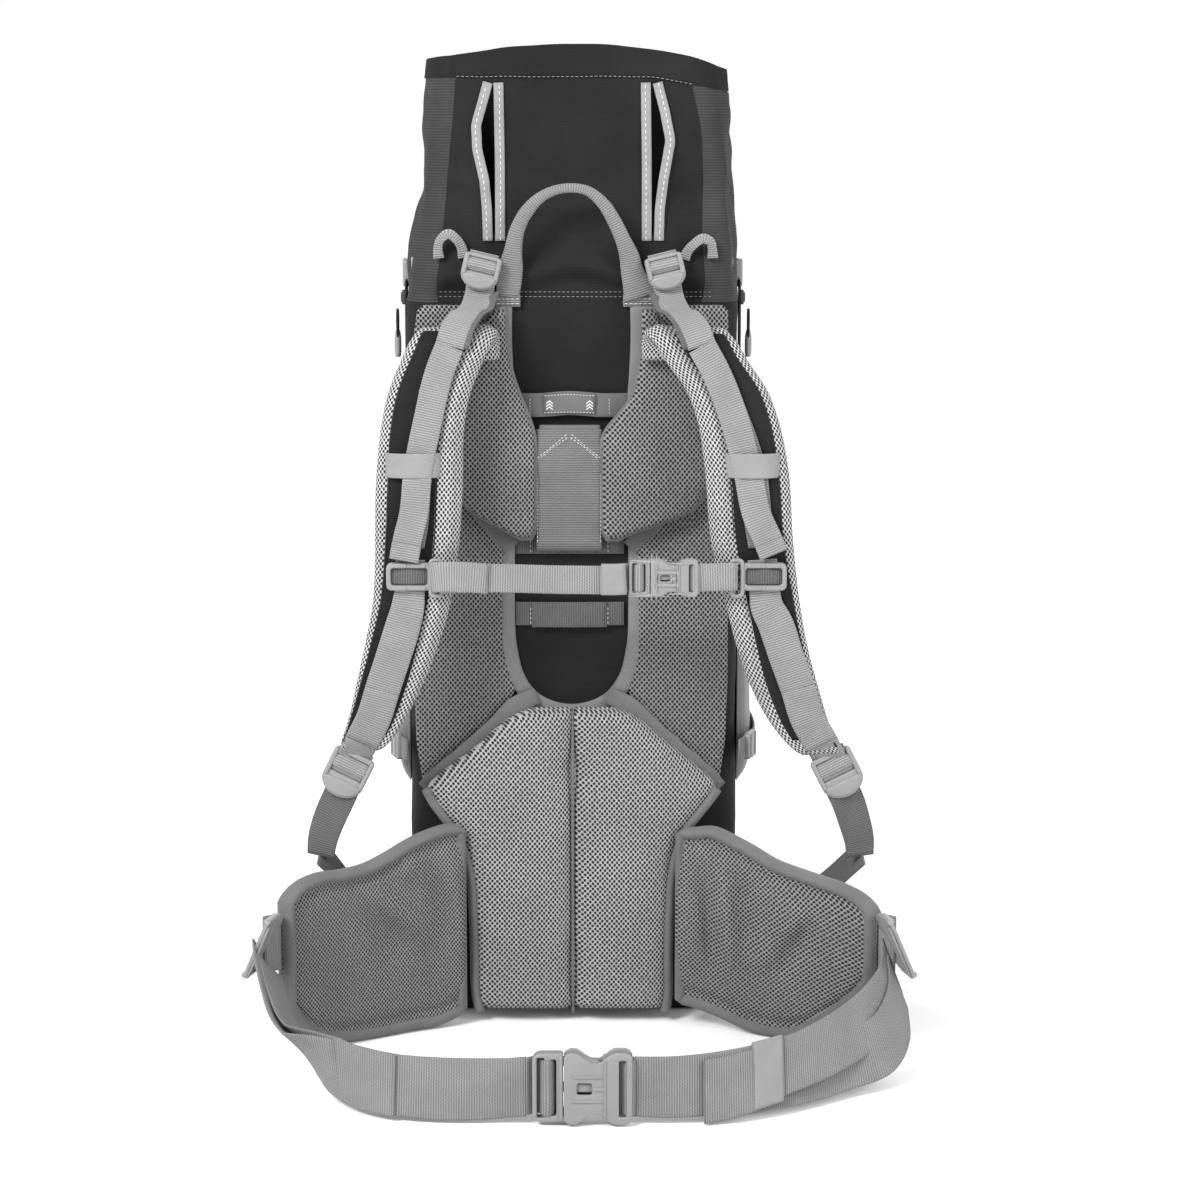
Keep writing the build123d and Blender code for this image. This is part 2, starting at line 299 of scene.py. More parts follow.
# ------------------------------------------------------------------ materials
class Nodes:
    """Small helper for building a shader."""

    def __init__(self, name, color, rough, sheen=0.0, spec=0.4):
        self.mat = bpy.data.materials.new(name)
        self.mat.use_nodes = True
        self.tree = self.mat.node_tree
        self.bsdf = self.tree.nodes["Principled BSDF"]
        self.bsdf.inputs["Roughness"].default_value = rough
        self.bsdf.inputs["Specular IOR Level"].default_value = spec
        self.bsdf.inputs["Base Color"].default_value = (*color, 1)
        if sheen:
            self.bsdf.inputs["Sheen Weight"].default_value = sheen
            self.bsdf.inputs["Sheen Roughness"].default_value = 0.5
        self.mat.diffuse_color = (*color, 1)

    def new(self, kind, **values):
        node = self.tree.nodes.new(kind)
        for key, value in values.items():
            if hasattr(node, key):
                setattr(node, key, value)
            else:
                node.inputs[key.replace("_", " ")].default_value = value
        return node

    def link(self, a, b):
        self.tree.links.new(a, b)

    def math(self, op, a, b=None, c=None, clamp=False):
        node = self.tree.nodes.new("ShaderNodeMath")
        node.operation = op
        node.use_clamp = clamp
        for i, v in enumerate((a, b, c)):
            if v is None:
                continue
            if isinstance(v, (int, float)):
                node.inputs[i].default_value = v
            else:
                self.link(v, node.inputs[i])
        return node.outputs[0]

    def coords(self, uv=True):
        node = self.new("ShaderNodeTexCoord")
        return node.outputs["UV" if uv else "Object"]

    def xyz(self, source):
        node = self.new("ShaderNodeSeparateXYZ")
        self.link(source, node.inputs[0])
        return node.outputs

    def noise(self, source, scale, detail=3.0, rough=0.5):
        node = self.new("ShaderNodeTexNoise")
        node.inputs["Scale"].default_value = scale
        node.inputs["Detail"].default_value = detail
        node.inputs["Roughness"].default_value = rough
        self.link(source, node.inputs["Vector"])
        return node.outputs["Fac"]

    def wave(self, value, pitch, sharp=1.0):
        """0..1 ridges across value, in metres."""
        s = self.math("SINE", self.math("MULTIPLY", value, 2 * math.pi / pitch))
        return self.math("POWER", self.math("MULTIPLY_ADD", s, 0.5, 0.5), sharp)

    def ramp(self, value, stops):
        node = self.new("ShaderNodeValToRGB")
        e = node.color_ramp.elements
        e[0].position, e[0].color = stops[0][0], (*stops[0][1], 1)
        e[1].position, e[1].color = stops[-1][0], (*stops[-1][1], 1)
        for pos, col in stops[1:-1]:
            x = e.new(pos)
            x.color = (*col, 1)
        self.link(value, node.inputs[0])
        return node.outputs["Color"]

    def mix(self, fac, a, b, mode="MIX"):
        node = self.new("ShaderNodeMix")
        node.data_type = "RGBA"
        node.blend_type = mode
        for sock, v in ((node.inputs[0], fac), (node.inputs[6], a), (node.inputs[7], b)):
            if isinstance(v, (int, float)):
                sock.default_value = v
            elif isinstance(v, tuple):
                sock.default_value = (*v, 1)
            else:
                self.link(v, sock)
        return node.outputs[2]

    def finish(self, color, height=None, strength=0.3, distance=0.001, rough=None):
        if not isinstance(color, tuple):
            self.link(color, self.bsdf.inputs["Base Color"])
        if height is not None:
            bump = self.new("ShaderNodeBump")
            bump.inputs["Strength"].default_value = strength
            bump.inputs["Distance"].default_value = distance
            self.link(height, bump.inputs["Height"])
            self.link(bump.outputs[0], self.bsdf.inputs["Normal"])
        if rough is not None:
            self.link(rough, self.bsdf.inputs["Roughness"])
        return self.mat


def grey(v, warm=0.0):
    return (v * (1 + warm), v, v * (1 - warm))


def air_mesh(name, light, dark, pitch=0.0042):
    """Spacer mesh: staggered dark holes between soft light strands."""
    n = Nodes(name, grey(light), 0.85, sheen=0.1, spec=0.2)
    uv = n.coords()
    turn = n.new("ShaderNodeMapping")
    turn.inputs["Rotation"].default_value = (0, 0, math.radians(45))
    turn.inputs["Scale"].default_value = (1.12, 0.95, 1)
    n.link(uv, turn.inputs["Vector"])
    cell = n.new("ShaderNodeTexVoronoi")
    cell.voronoi_dimensions = "2D"
    cell.distance = "MINKOWSKI"
    cell.inputs["Exponent"].default_value = 1.5
    cell.inputs["Scale"].default_value = 1 / (pitch * 0.78)
    cell.inputs["Randomness"].default_value = 0.1
    n.link(turn.outputs[0], cell.inputs["Vector"])
    hole = n.ramp(cell.outputs["Distance"], [(0.30, (0, 0, 0)), (0.46, (1, 1, 1))])
    tone = n.noise(n.coords(False), 22, 4)
    fibre = n.noise(uv, 1400, 2)
    strands = n.mix(tone, grey(light * 0.66), grey(light * 1.3))
    strands = n.mix(n.math("MULTIPLY", fibre, 0.5), strands, grey(light * 1.45))
    color = n.mix(hole, grey(dark), strands)
    return n.finish(color, hole, 0.9, 0.0016)


def webbing(name, value, rib=0.0021, cols=0.0028, rough=0.78, contrast=0.62):
    """Flat woven webbing: cross ribs and fine staggered columns."""
    n = Nodes(name, grey(value), rough, sheen=0.12, spec=0.2)
    uv = n.coords()
    c = n.xyz(uv)
    bend = n.noise(uv, 90, 2)
    v = n.math("MULTIPLY_ADD", bend, 0.0006, c[1])
    rib_h = n.wave(v, rib, 0.8)
    row = n.math("FLOOR", n.math("DIVIDE", v, rib))
    shift = n.math("MULTIPLY", n.math("MODULO", row, 2.0), cols / 2)
    col_h = n.wave(n.math("ADD", c[0], shift), cols, 0.7)
    height = n.math("MULTIPLY_ADD", col_h, 0.35, rib_h)
    tone = n.noise(n.coords(False), 35, 5)
    base = n.mix(tone, grey(value * 0.74), grey(value * 1.24))
    fac = n.math("MULTIPLY_ADD", n.math("SUBTRACT", 1.35, height), contrast, 0.0, clamp=True)
    color = n.mix(fac, base, grey(value * 0.35))
    return n.finish(color, height, 0.8, 0.0007)


def nylon(name, value, rib=0.0016, contrast=0.6, rough=0.6, sheen=0.0):
    """Coated pack cloth with fine horizontal ribs and dusty tone shifts."""
    n = Nodes(name, grey(value), rough, sheen=sheen, spec=0.05)
    uv = n.coords()
    c = n.xyz(uv)
    wob = n.noise(uv, 60, 3)
    v = n.math("MULTIPLY_ADD", wob, 0.0007, c[1])
    ribs = n.wave(v, rib, 1.0)
    threads = n.noise(uv, 900, 2, 0.7)
    thread_x = n.wave(c[0], 0.0009, 1.0)
    height = n.math("ADD", n.math("MULTIPLY", ribs, 0.8), n.math("MULTIPLY", thread_x, 0.25))
    tone = n.noise(n.coords(False), 14, 5)
    light = n.mix(tone, grey(value * 0.45), grey(value * 1.75))
    color = n.mix(n.math("MULTIPLY", n.math("SUBTRACT", 1.0, ribs), contrast), light, grey(value * 0.45))
    color = n.mix(n.math("MULTIPLY", threads, 0.15), color, grey(value * 2.2))
    folds = n.noise(n.coords(False), 16, 3, 0.6)
    height = n.math("MULTIPLY_ADD", folds, 14.0, height)
    return n.finish(color, height, 0.5, 0.0005)


def tape_mat(name, value):
    """Narrow binding tape: fine diagonal twill."""
    n = Nodes(name, grey(value), 0.8, sheen=0.1, spec=0.2)
    uv = n.coords()
    c = n.xyz(uv)
    diag = n.math("ADD", c[0], c[1])
    twill = n.wave(diag, 0.0016, 1.0)
    tone = n.noise(n.coords(False), 40, 4)
    base = n.mix(tone, grey(value * 0.75), grey(value * 1.25))
    color = n.mix(n.math("MULTIPLY", n.math("SUBTRACT", 1.0, twill), 0.6), base, grey(value * 0.45))
    return n.finish(color, twill, 0.4, 0.0004)


def plastic(name, value, rough=0.42):
    """Moulded acetal: faint grain, scuffs and slightly paler worn edges."""
    n = Nodes(name, grey(value), rough, spec=0.5)
    obj = n.coords(False)
    grain = n.noise(obj, 900, 2, 0.6)
    cloud = n.noise(obj, 45, 4)
    scuff = n.noise(obj, 240, 5, 0.75)
    geo = n.new("ShaderNodeNewGeometry")
    edge = n.ramp(geo.outputs["Pointiness"], [(0.5, (0, 0, 0)), (0.62, (1, 1, 1))])
    base = n.mix(cloud, grey(value * 0.9), grey(value * 1.1))
    base = n.mix(n.math("MULTIPLY", edge, 0.35), base, grey(value * 1.6))
    rough_map = n.math("MULTIPLY_ADD", scuff, 0.25, rough - 0.1)
    return n.finish(base, grain, 0.12, 0.0003, rough_map)


def knit(name, value):
    """Stretch pocket knit: small vertical columns."""
    n = Nodes(name, grey(value), 0.8, sheen=0.3, spec=0.3)
    c = n.xyz(n.coords())
    cols = n.wave(c[0], 0.0021, 1.0)
    rows = n.wave(c[1], 0.0016, 1.0)
    height = n.math("MULTIPLY_ADD", rows, 0.5, cols)
    tone = n.noise(n.coords(False), 18, 4)
    base = n.mix(tone, grey(value * 0.85), grey(value * 1.15))
    color = n.mix(n.math("MULTIPLY", n.math("SUBTRACT", 1.4, height), 0.32, clamp=True), base,
                  grey(value * 0.4))
    return n.finish(color, height, 0.4, 0.0005)


def thread(name, value):
    n = Nodes(name, grey(value), 0.6, sheen=0.2)
    obj = n.coords(False)
    twist = n.noise(obj, 1800, 1)
    return n.finish(n.mix(twist, grey(value * 0.8), grey(value)), twist, 0.2, 0.0002)


def smooth_sheet(name, value, metal=0.0):
    n = Nodes(name, grey(value), 0.4 if metal else 0.5)
    n.bsdf.inputs["Metallic"].default_value = metal
    obj = n.coords(False)
    streak = n.noise(obj, 120, 4)
    return n.finish(n.mix(streak, grey(value * 0.85), grey(value)), streak, 0.1, 0.0003)


M_BLACK = nylon("black_nylon", 0.0125)
M_GUSSET = nylon("gusset_nylon", 0.034, rib=0.0024, contrast=0.75)
# the lining is black cloth set darker than the outer black; the extra darkness is painted shade inside the
# bag, seen through the slits
M_LINING = nylon("lining_nylon", 0.004)
M_MESH = air_mesh("air_mesh", 0.17, 0.006)
M_MESH_MID = air_mesh("air_mesh_mid", 0.25, 0.008)
# lighter copy of the air mesh for the shoulder pads: the pads' mesh is lighter grey, and part of that
# lightness is painted highlight matched to their lit inner rolls
M_MESH_LIGHT = air_mesh("air_mesh_light", 0.34, 0.010)
M_MESH_FINE = air_mesh("air_mesh_fine", 0.165, 0.008, pitch=0.0036)
M_WEB = webbing("webbing_light", 0.25)
M_WEB_HIP = webbing("webbing_hip", 0.21)
# webbing_mid and webbing_low are darker copies of the same grey webbing; where they lie under other straps or
# in the hollow between the pads, their darkness is painted shade
M_WEB_MID = webbing("webbing_mid", 0.16)
M_WEB_LOW = webbing("webbing_low", 0.105)
M_TAPE = tape_mat("binding_tape", 0.125)
M_BORDER = tape_mat("border_twill", 0.17)
M_TAPE_LIGHT = tape_mat("binding_tape_light", 0.23)
M_TAPE_BLACK = tape_mat("binding_tape_black", 0.010)
M_PLASTIC = plastic("grey_plastic", 0.17)
M_PLASTIC_DARK = plastic("dark_plastic", 0.015)
M_KNIT = knit("stretch_knit", 0.15)
M_THREAD = thread("pale_thread", 0.6)
M_THREAD_DARK = thread("grey_thread", 0.2)
M_SHEET = smooth_sheet("frame_sheet", 0.05)
M_ALU = smooth_sheet("aluminium", 0.6, 1.0)


# ------------------------------------------------------------------ bag shell
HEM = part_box("hem_band")[0][2] * 1000
HIGH = TOP * 1000
HALF = -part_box("side_panel_left")[0][0] * 1000
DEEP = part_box("side_panel_left")[1][1] * 1000
SLIT_LOW, SLIT_HIGH = 698.0, 828.0
COLLAR = 640.0                              # height where the soft collar begins
RIM = 780.0                                 # height above which the rows follow the sloping hem
FLOOR = 5.0
BACK_ROUND, FRONT_ROUND = 40.0, 52.0        # corner radii of the bag seen from above
FOOT_ROWS = 6                               # rows of the shell below the inner floor


def table(z, rows):
    zs, vs = zip(*sorted(rows))
    return float(np.interp(z, zs, vs))


WIDE_L = [(0, HALF), (640, HALF - 1), (672, 143), (704, 139), (735, 131), (770, 127), (805, 127), (832, 129),
          (861, 128)]
WIDE_R = [(0, HALF), (640, HALF - 1), (672, 142), (704, 142), (735, 140), (770, 137), (805, 135), (832, 134),
          (861, 133)]
SEAM_L = [(0, 104), (600, 112), (651, 118), (694, 113), (745, 108), (796, 103), (849, 99)]
SEAM_R = [(0, 104), (600, 114), (659, 124), (694, 121), (745, 121), (796, 117), (845, 108)]
SLIT_IN_L = [(0, 64), (698, 66), (762, 66), (828, 67)]
SLIT_OUT_L = [(0, 68), (698, 69.5), (720, 70), (745, 72), (771, 78), (792, 79), (813, 73), (828, 69)]
SLIT_IN_R = [(0, 66), (698, 68), (762, 68), (828, 67)]
SLIT_OUT_R = [(0, 70), (698, 71.5), (720, 72), (745, 75), (779, 81), (805, 76), (828, 70)]
BACK_CUTS = (6, 1, 18, 1, 6)


def rib_noise(x, y, z, seed, size):
    return noise.noise(Vector((x / size + seed, y / size, z / size)))


def low_edge(x):
    return HEM - max(0.0, x - 70) * 0.18


def high_edge(x):
    return HIGH - 11 * min(1.0, abs(x) / 105) ** 2 - max(0.0, x - 105) * 0.4 - max(0.0, -x - 105) * 0.05


def shell_ring(z, inset):
    """Points (x, y, z) in millimetres round the bag at height z, with the zone of each point (0 back, 1 sides
    and corners, 2 front).
    """
    up = max(0.0, z - COLLAR) / (HEM - COLLAR)
    wl, wr = table(z, WIDE_L) - inset, table(z, WIDE_R) - inset
    sl, sr = table(z, SEAM_L) - inset * 0.3, table(z, SEAM_R) - inset * 0.3
    foot = max(0.0, 24 - z) / 24
    tuck = 15 * (1 - math.sqrt(max(0.0, 1 - foot * foot)))
    back = -DEEP + 10 * min(up, 1.1) + (inset if z > COLLAR else inset * 2.4)
    front = DEEP - 36 * min(up, 1.0) - inset
    cuts = [-sl, -table(z, SLIT_OUT_L), -table(z, SLIT_IN_L), table(z, SLIT_IN_R), table(z, SLIT_OUT_R), sr]
    pts = []
    for k, count in enumerate(BACK_CUTS):
        for i in range(count):
            pts.append((cuts[k] + (cuts[k + 1] - cuts[k]) * i / count, back, 0))
    rb, rf = BACK_ROUND, FRONT_ROUND
    for i in range(8):
        a = i / 8 * math.pi / 2
        pts.append((sr + (wr - sr) * math.sin(a), back + rb * (1 - math.cos(a)), 1))
    for i in range(14):
        pts.append((wr, back + rb + (front - rf - back - rb) * i / 14, 1))
    for i in range(8):
        a = i / 8 * math.pi / 2
        pts.append((wr - rf * (1 - math.cos(a)), front - rf + rf * math.sin(a), 1))
    for i in range(24):
        pts.append((wr - rf + (-(wl - rf) - (wr - rf)) * i / 24, front, 2))
    for i in range(8):
        a = i / 8 * math.pi / 2
        pts.append((-(wl - rf) - rf * math.sin(a), front - rf * (1 - math.cos(a)), 1))
    for i in range(14):
        pts.append((-wl, front - rf + (back + rb - front + rf) * i / 14, 1))
    for i in range(8):
        a = i / 8 * math.pi / 2
        pts.append((-wl + (wl - sl) * (1 - math.cos(a)), back + rb - rb * math.sin(a), 1))
    p = np.array(pts)
    xy = p[:, :2].copy()
    centre = np.array([0.0, (back + front) / 2])
    nxt, prv = np.roll(xy, -1, 0), np.roll(xy, 1, 0)
    t = unit(nxt - prv)
    normal = np.stack([t[:, 1], -t[:, 0]], 1)
    out = []
    for i, (x, y) in enumerate(xy):
        zone = p[i, 2]
        push = 0.0
        zz = z
        if z > COLLAR:
            k = min(1.0, (z - COLLAR) / 30) * (1.0 if z < HEM else 0.55)
            push += 4.2 * k * rib_noise(x, y, z * 0.8, 3.0, 55)
            push += 1.6 * k * rib_noise(x, y, z, 9.0, 20)
            if zone == 1:
                push += 4.5 * k * rib_noise(x * 0.6, y * 1.6, z * 0.35, 5.0, 26)
            if zone == 0:
                crest = (664 + 9 * math.cos(x / 34) * math.exp(-(x / 80) ** 2)
                         + 4 * rib_noise(x, 0, 0, 2.0, 60))
                push += 6.5 * math.exp(-((z - crest) / 9) ** 2) - 2.5 * math.exp(-((z - crest + 17) / 5) ** 2)
                fold = 716 + 0.32 * abs(x) + 6 * rib_noise(x, 0, 0, 7.0, 45)
                push += 2.2 * math.exp(-((z - fold) / 8) ** 2) * min(1, abs(x) / 20)
                for edge, s in ((-table(z, SLIT_OUT_L), -1), (table(z, SLIT_OUT_R), 1)):
                    q = (z - SLIT_LOW) / (SLIT_HIGH - SLIT_LOW)
                    if 0 < q < 1 and (x - edge) * s >= -0.01:
                        push += 8 * math.sin(math.pi * q) ** 1.3 * math.exp(-abs(x - edge) / 14)
        else:
            k = min(1.0, z / 60)
            if zone != 0:
                push += 3.2 * k * rib_noise(x, y, z * 0.7, 13.0, 75) + 1.2 * k * rib_noise(x, y, z, 14.0, 24)
            if zone == 2:
                push += 5 * math.sin(math.pi * min(1, z / COLLAR)) * (1 - (x / 150) ** 2)
        if z >= HEM + 1:
            push += 1.3
        if z > RIM:
            low, high = low_edge(x), high_edge(x)
            if z <= HEM:
                zz = z + (low - HEM) * (z - RIM) / (HEM - RIM)
            else:
                zz = low + (z - HEM) / (HIGH - HEM) * (high - low) + 1.2 * rib_noise(x, y, 0, 21.0, 30)
        q = np.array([x, y]) + normal[i] * push * (1 if inset < 1 else 0.9)
        q = q - unit(q - centre) * tuck
        out.append((q[0], q[1], zz))
    return np.array(out), p[:, 2]


heights = np.r_[0, 1.5, 4, 8, 13, 18, 24, np.linspace(36, 628, 40), COLLAR,
                np.linspace(645, 693, 13), np.linspace(SLIT_LOW, SLIT_HIGH, 29), 830.5, HEM, HEM + 1.2,
                np.linspace(838, HIGH - 1.0, 7), HIGH]


def build_shell():
    outer, inner = [], []
    for z in heights:
        ring, zone = shell_ring(z, 0.0)
        outer.append(ring)
        inner.append(shell_ring(max(z, FLOOR + 2), 3.0 if z > 655 else 4.0)[0])
    outer, inner = np.array(outer), np.array(inner)
    inner[:, :, 2] = np.maximum(inner[:, :, 2], FLOOR + 2)
    inner[-1, :, 2] -= 0.8
    inner = inner[FOOT_ROWS:]
    R, C = outer.shape[:2]
    arc = np.zeros(C)
    mid = outer[20]
    arc[1:] = np.cumsum(np.linalg.norm(np.diff(mid[:, :2], axis=0), axis=1))
    verts = np.vstack([outer.reshape(-1, 3), inner.reshape(-1, 3)]) / 1000
    uv = np.vstack([np.stack(np.broadcast_arrays(arc[None, :], outer[:, :, 2]), -1).reshape(-1, 2),
                    np.stack(np.broadcast_arrays(arc[None, :], inner[:, :, 2]), -1).reshape(-1, 2)]) / 1000
    gaps = {BACK_CUTS[0], sum(BACK_CUTS[:3])}
    r_low = int(np.argmin(abs(heights - SLIT_LOW)))
    r_high = int(np.argmin(abs(heights - SLIT_HIGH)))
    off = R * C
    faces, mats = [], []

    def o(r, c):
        return r * C + c % C

    def i(r, c):
        return off + (r - FOOT_ROWS) * C + c % C

    for r in range(R - 1):
        for c in range(C):
            if c in gaps and r_low <= r < r_high:
                continue
            faces.append((o(r, c), o(r, c + 1), o(r + 1, c + 1), o(r + 1, c)))
            side = zone[c] == 1 or zone[(c + 1) % C] == 1
            mats.append(1 if side and heights[r] >= COLLAR and heights[r] < HEM else 0)
            if r >= FOOT_ROWS:
                faces.append((i(r, c + 1), i(r, c), i(r + 1, c), i(r + 1, c + 1)))
                mats.append(2)
    for c in range(C):
        faces.append((o(R - 1, c), o(R - 1, c + 1), i(R - 1, c + 1), i(R - 1, c)))
        mats.append(0)
    for c in gaps:
        for r in range(r_low, r_high):
            faces.append((o(r, c), o(r + 1, c), i(r + 1, c), i(r, c)))
            faces.append((o(r + 1, c + 1), o(r, c + 1), i(r, c + 1), i(r + 1, c + 1)))
            mats += [0, 0]
        faces.append((o(r_low, c + 1), o(r_low, c), i(r_low, c), i(r_low, c + 1)))
        faces.append((o(r_high, c), o(r_high, c + 1), i(r_high, c + 1), i(r_high, c)))
        mats += [0, 0]
    faces.append(tuple(o(0, c) for c in range(C))[::-1])
    faces.append(tuple(i(FOOT_ROWS, c) for c in range(C)))
    mats += [0, 2]
    shell = make("bag_shell", verts, faces, uv, [M_BLACK, M_GUSSET, M_LINING], face_mat=mats)
    return tidy(shell), outer, arc


shell, outer, arc = build_shell()
done(shell, "pack", ("back_panel", "front_panel", "side_panel_left", "side_panel_right",
                                   "base_panel", "collar_back_lower", "collar_back_centre",
                                   "collar_back_left", "collar_back_right", "collar_front", "hem_band"))


def shell_line(z, x0, x1, lift, count=40):
    """Points on the back face of the shell at height z."""
    r = int(np.argmin(abs(heights - z)))
    row = outer[r][:sum(BACK_CUTS) + 1]
    xs = np.linspace(x0, x1, count)
    ys = np.interp(xs, row[:, 0], row[:, 1])
    zs = np.interp(xs, row[:, 0], row[:, 2])
    return np.stack([xs, ys - lift, zs], 1) / 1000


def slit_edge(c, side, lift, shift):
    """Points in metres along a slit edge, shift millimetres away from the opening."""
    r_low = int(np.argmin(abs(heights - SLIT_LOW)))
    r_high = int(np.argmin(abs(heights - SLIT_HIGH)))
    pts = []
    for r in range(r_low - 1, r_high + 1):
        row = outer[r]
        x = row[c][0] + side * shift
        y = np.interp(x, row[:sum(BACK_CUTS) + 1, 0], row[:sum(BACK_CUTS) + 1, 1])
        pts.append((x, y - lift, row[c][2]))
    return np.array(pts) / 1000


def from_world(points):
    """Metres back to the stations (x, depth, z) in millimetres."""
    p = np.asarray(points, float) * 1000
    return np.stack([p[:, 0], (BACK * 1000 - p[:, 1]), p[:, 2]], 1)


slit_obs, slit_runs = [], []
for tag, c_gap in (("left", BACK_CUTS[0]), ("right", sum(BACK_CUTS[:3]))):
    for part, c, side in (("a", c_gap, -1), ("b", c_gap + 1, 1)):
        line = slit_edge(c, side, 1.0, 3.6)
        slit_obs.append(done(tape(f"slit_binding_{tag}_{part}", from_world(line), 8.6, M_TAPE_LIGHT,
                                  thick=2.2, crown=0.6, step=3), "pack"))
        slit_runs.append(slit_edge(c, side, 3.0, 4.2))
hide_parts("slit_bindings")
done(stitches("slit_stitches", slit_runs, M_THREAD, stitch=3.2, gap=2.2, radius=0.42), "pack")
hem_runs = [shell_line(HEM + 1.2, -100, 104, 0.6), shell_line(645, -116, 122, 0.5),
            shell_line(649, -116, 122, 0.5)]
done(stitches("hem_stitches", hem_runs, M_THREAD_DARK, radius=0.3), "pack")


# ------------------------------------------------------------------ padded back
def rows_to_stations(rows, depth, flare=1.0):
    """(z, x0, x1[, depth]) rows to stations of a pad that runs upwards."""
    out = []
    for row in rows:
        z, a, b = row[:3]
        d = row[3] if len(row) > 3 else depth
        out.append(((a + b) / 2, d, z, abs(b - a) * flare))
    return out


MESH_ROWS = {
    "left": [(638, -134, -65), (600, -139, -71), (580, -140, -70), (556, -141, -62), (538, -141, -54),
             (516, -141, -54), (450, -141, -59), (379, -141, -62), (325, -141, -58), (302, -141, -50),
             (280, -140, -62), (250, -139, -90), (228, -136, -112), (211, -133, -125)],
    "right": [(638, 68, 135), (600, 75, 136), (580, 74, 137), (556, 60, 137), (541, 52, 137), (516, 51, 137),
              (450, 55, 137), (379, 58, 137), (325, 54, 137), (302, 48, 137), (280, 58, 136), (250, 86, 135),
              (228, 107, 132), (211, 121, 130)],
}
LOBE_ROWS = {"left": [(636, -70, -58), (620, -76, -57), (600, -84, -56), (580, -90, -52), (560, -94, -45),
                      (545, -96, -39), (530, -98, -34), (497, -100, -32.5), (478, -99, -32.5),
                      (464, -92, -32.5), (452, -74, -33), (442, -56, -33.5), (436, -46, -36)],
             "right": [(636, 60, 72), (620, 60, 78), (600, 60, 88), (580, 57, 96), (560, 52, 103),
                       (545, 41, 108), (530, 29, 112), (497, 26.5, 117), (474, 26.5, 114), (460, 26.5, 102),
                       (450, 27, 78), (441, 27.5, 52), (435, 30, 40)], }
LUMBAR_ROWS = {"left": [(285, -34, -0.2), (277, -54, -0.2), (268, -66, -0.2), (250, -86, -0.2),
                        (234, -107, -0.2), (222, -122, -0.2), (213, -129, -0.2), (203, -124, -0.2),
                        (190, -115, -0.2), (172, -102, -0.2), (155, -95, -0.2), (134, -90, -0.2),
                        (100, -88, -0.2), (60, -87, -0.2), (25, -86, -0.2), (9, -83, -0.2)],
               "right": [(285, 0.2, 36), (277, 0.2, 55), (268, 0.2, 67), (250, 0.2, 88), (234, 0.2, 108),
                         (222, 0.2, 121), (213, 0.2, 127), (203, 0.2, 120), (190, 0.2, 110), (172, 0.2, 97),
                         (155, 0.2, 91), (134, 0.2, 87), (100, 0.2, 85), (60, 0.2, 84), (25, 0.2, 84),
                         (9, 0.2, 82)], }


def edge_path(info, s, inward=0.0, lift=0.0):
    """Points along a pad at side position s, lifted outwards by lift millimetres."""
    return (info["path"] + info["side"] * (s * info["w"] - math.copysign(inward / 1000, s))[:, None]
            + info["out"] * lift / 1000)


def flat_uv(obj):
    """Lays the weave out straight on the face towards the wearer."""
    layer = obj.data.uv_layers.active.data
    for loop in obj.data.loops:
        co = obj.data.vertices[loop.vertex_index].co
        layer[loop.index].uv = (co.x + co.y * 0.35, co.z)


def press(obj, creases, taper=0.7):
    """Moves the near face along creases ((x0, z0), (x1, z1), width, height) in millimetres."""
    mesh = obj.data
    normals = [v.normal.y for v in mesh.vertices]
    for v, ny in zip(mesh.vertices, normals):
        if ny > -0.1:
            continue
        x, z, lift = v.co.x * 1000, v.co.z * 1000, 0.0
        for (x0, z0), (x1, z1), width, height in creases:
            dx, dz = x1 - x0, z1 - z0
            t = max(0.0, min(1.0, ((x - x0) * dx + (z - z0) * dz) / (dx * dx + dz * dz)))
            gap = math.hypot(x - x0 - t * dx, z - z0 - t * dz)
            fade = min(1.0, (1 - abs(2 * t - 1)) / taper + 0.15)
            lift += height * fade * math.exp(-(gap / width) ** 2)
        v.co.y -= lift * min(1.0, -ny * 1.6) / 1000


for tag, s in SIDES:
    mesh, info = pad(f"back_mesh_{tag}", rows_to_stations(MESH_ROWS[tag], 3.0), 7.0, M_MESH, front=3.5,
                     rear=6, rear_keep=0.8, ends=(4, 8), step=5)
    flat_uv(mesh)
    press(mesh, [((s * 62, 545), (s * 62, 330), 9, 3), ((s * 128, 560), (s * 128, 260), 8, -3)])
    done(mesh, "pack", (f"back_mesh_{tag}",))
    lobe, info = pad(f"yoke_lobe_{tag}", rows_to_stations(LOBE_ROWS[tag], 20.0), 16.0, M_MESH, front=3.0,
                     rear=3, ends=(10, 8), step=4, seg=56)
    flat_uv(lobe)
    press(lobe, [((s * 45, 520), (s * 62, 460), 24, 3.5), ((s * 84, 540), (s * 90, 480), 16, -4)])
    done(lobe, "harness", (f"yoke_pad_{tag}",))
    bind = np.vstack([edge_path(info, -1), edge_path(info, 1)[::-1]])
    done(piping(f"yoke_binding_{tag}", bind, 2.0, M_TAPE, closed=True), "harness")

    def lumbar_shape(a, d, total):
        return 2.0 * math.sin(math.pi * min(1,
                                            d / total)) - 5.0 * math.exp(-((d - 70) / 22) ** 2) * abs(a) ** 3

    pad_obj, info = pad(f"lumbar_{tag}", rows_to_stations(LUMBAR_ROWS[tag], 17.5), 35.0, M_MESH_MID,
                        front=3.0, rear=7, ends=(16, 10), step=5, seg=56, shape=lumbar_shape)
    flat_uv(pad_obj)
    done(pad_obj, "pack", (f"lumbar_pad_{tag}",))

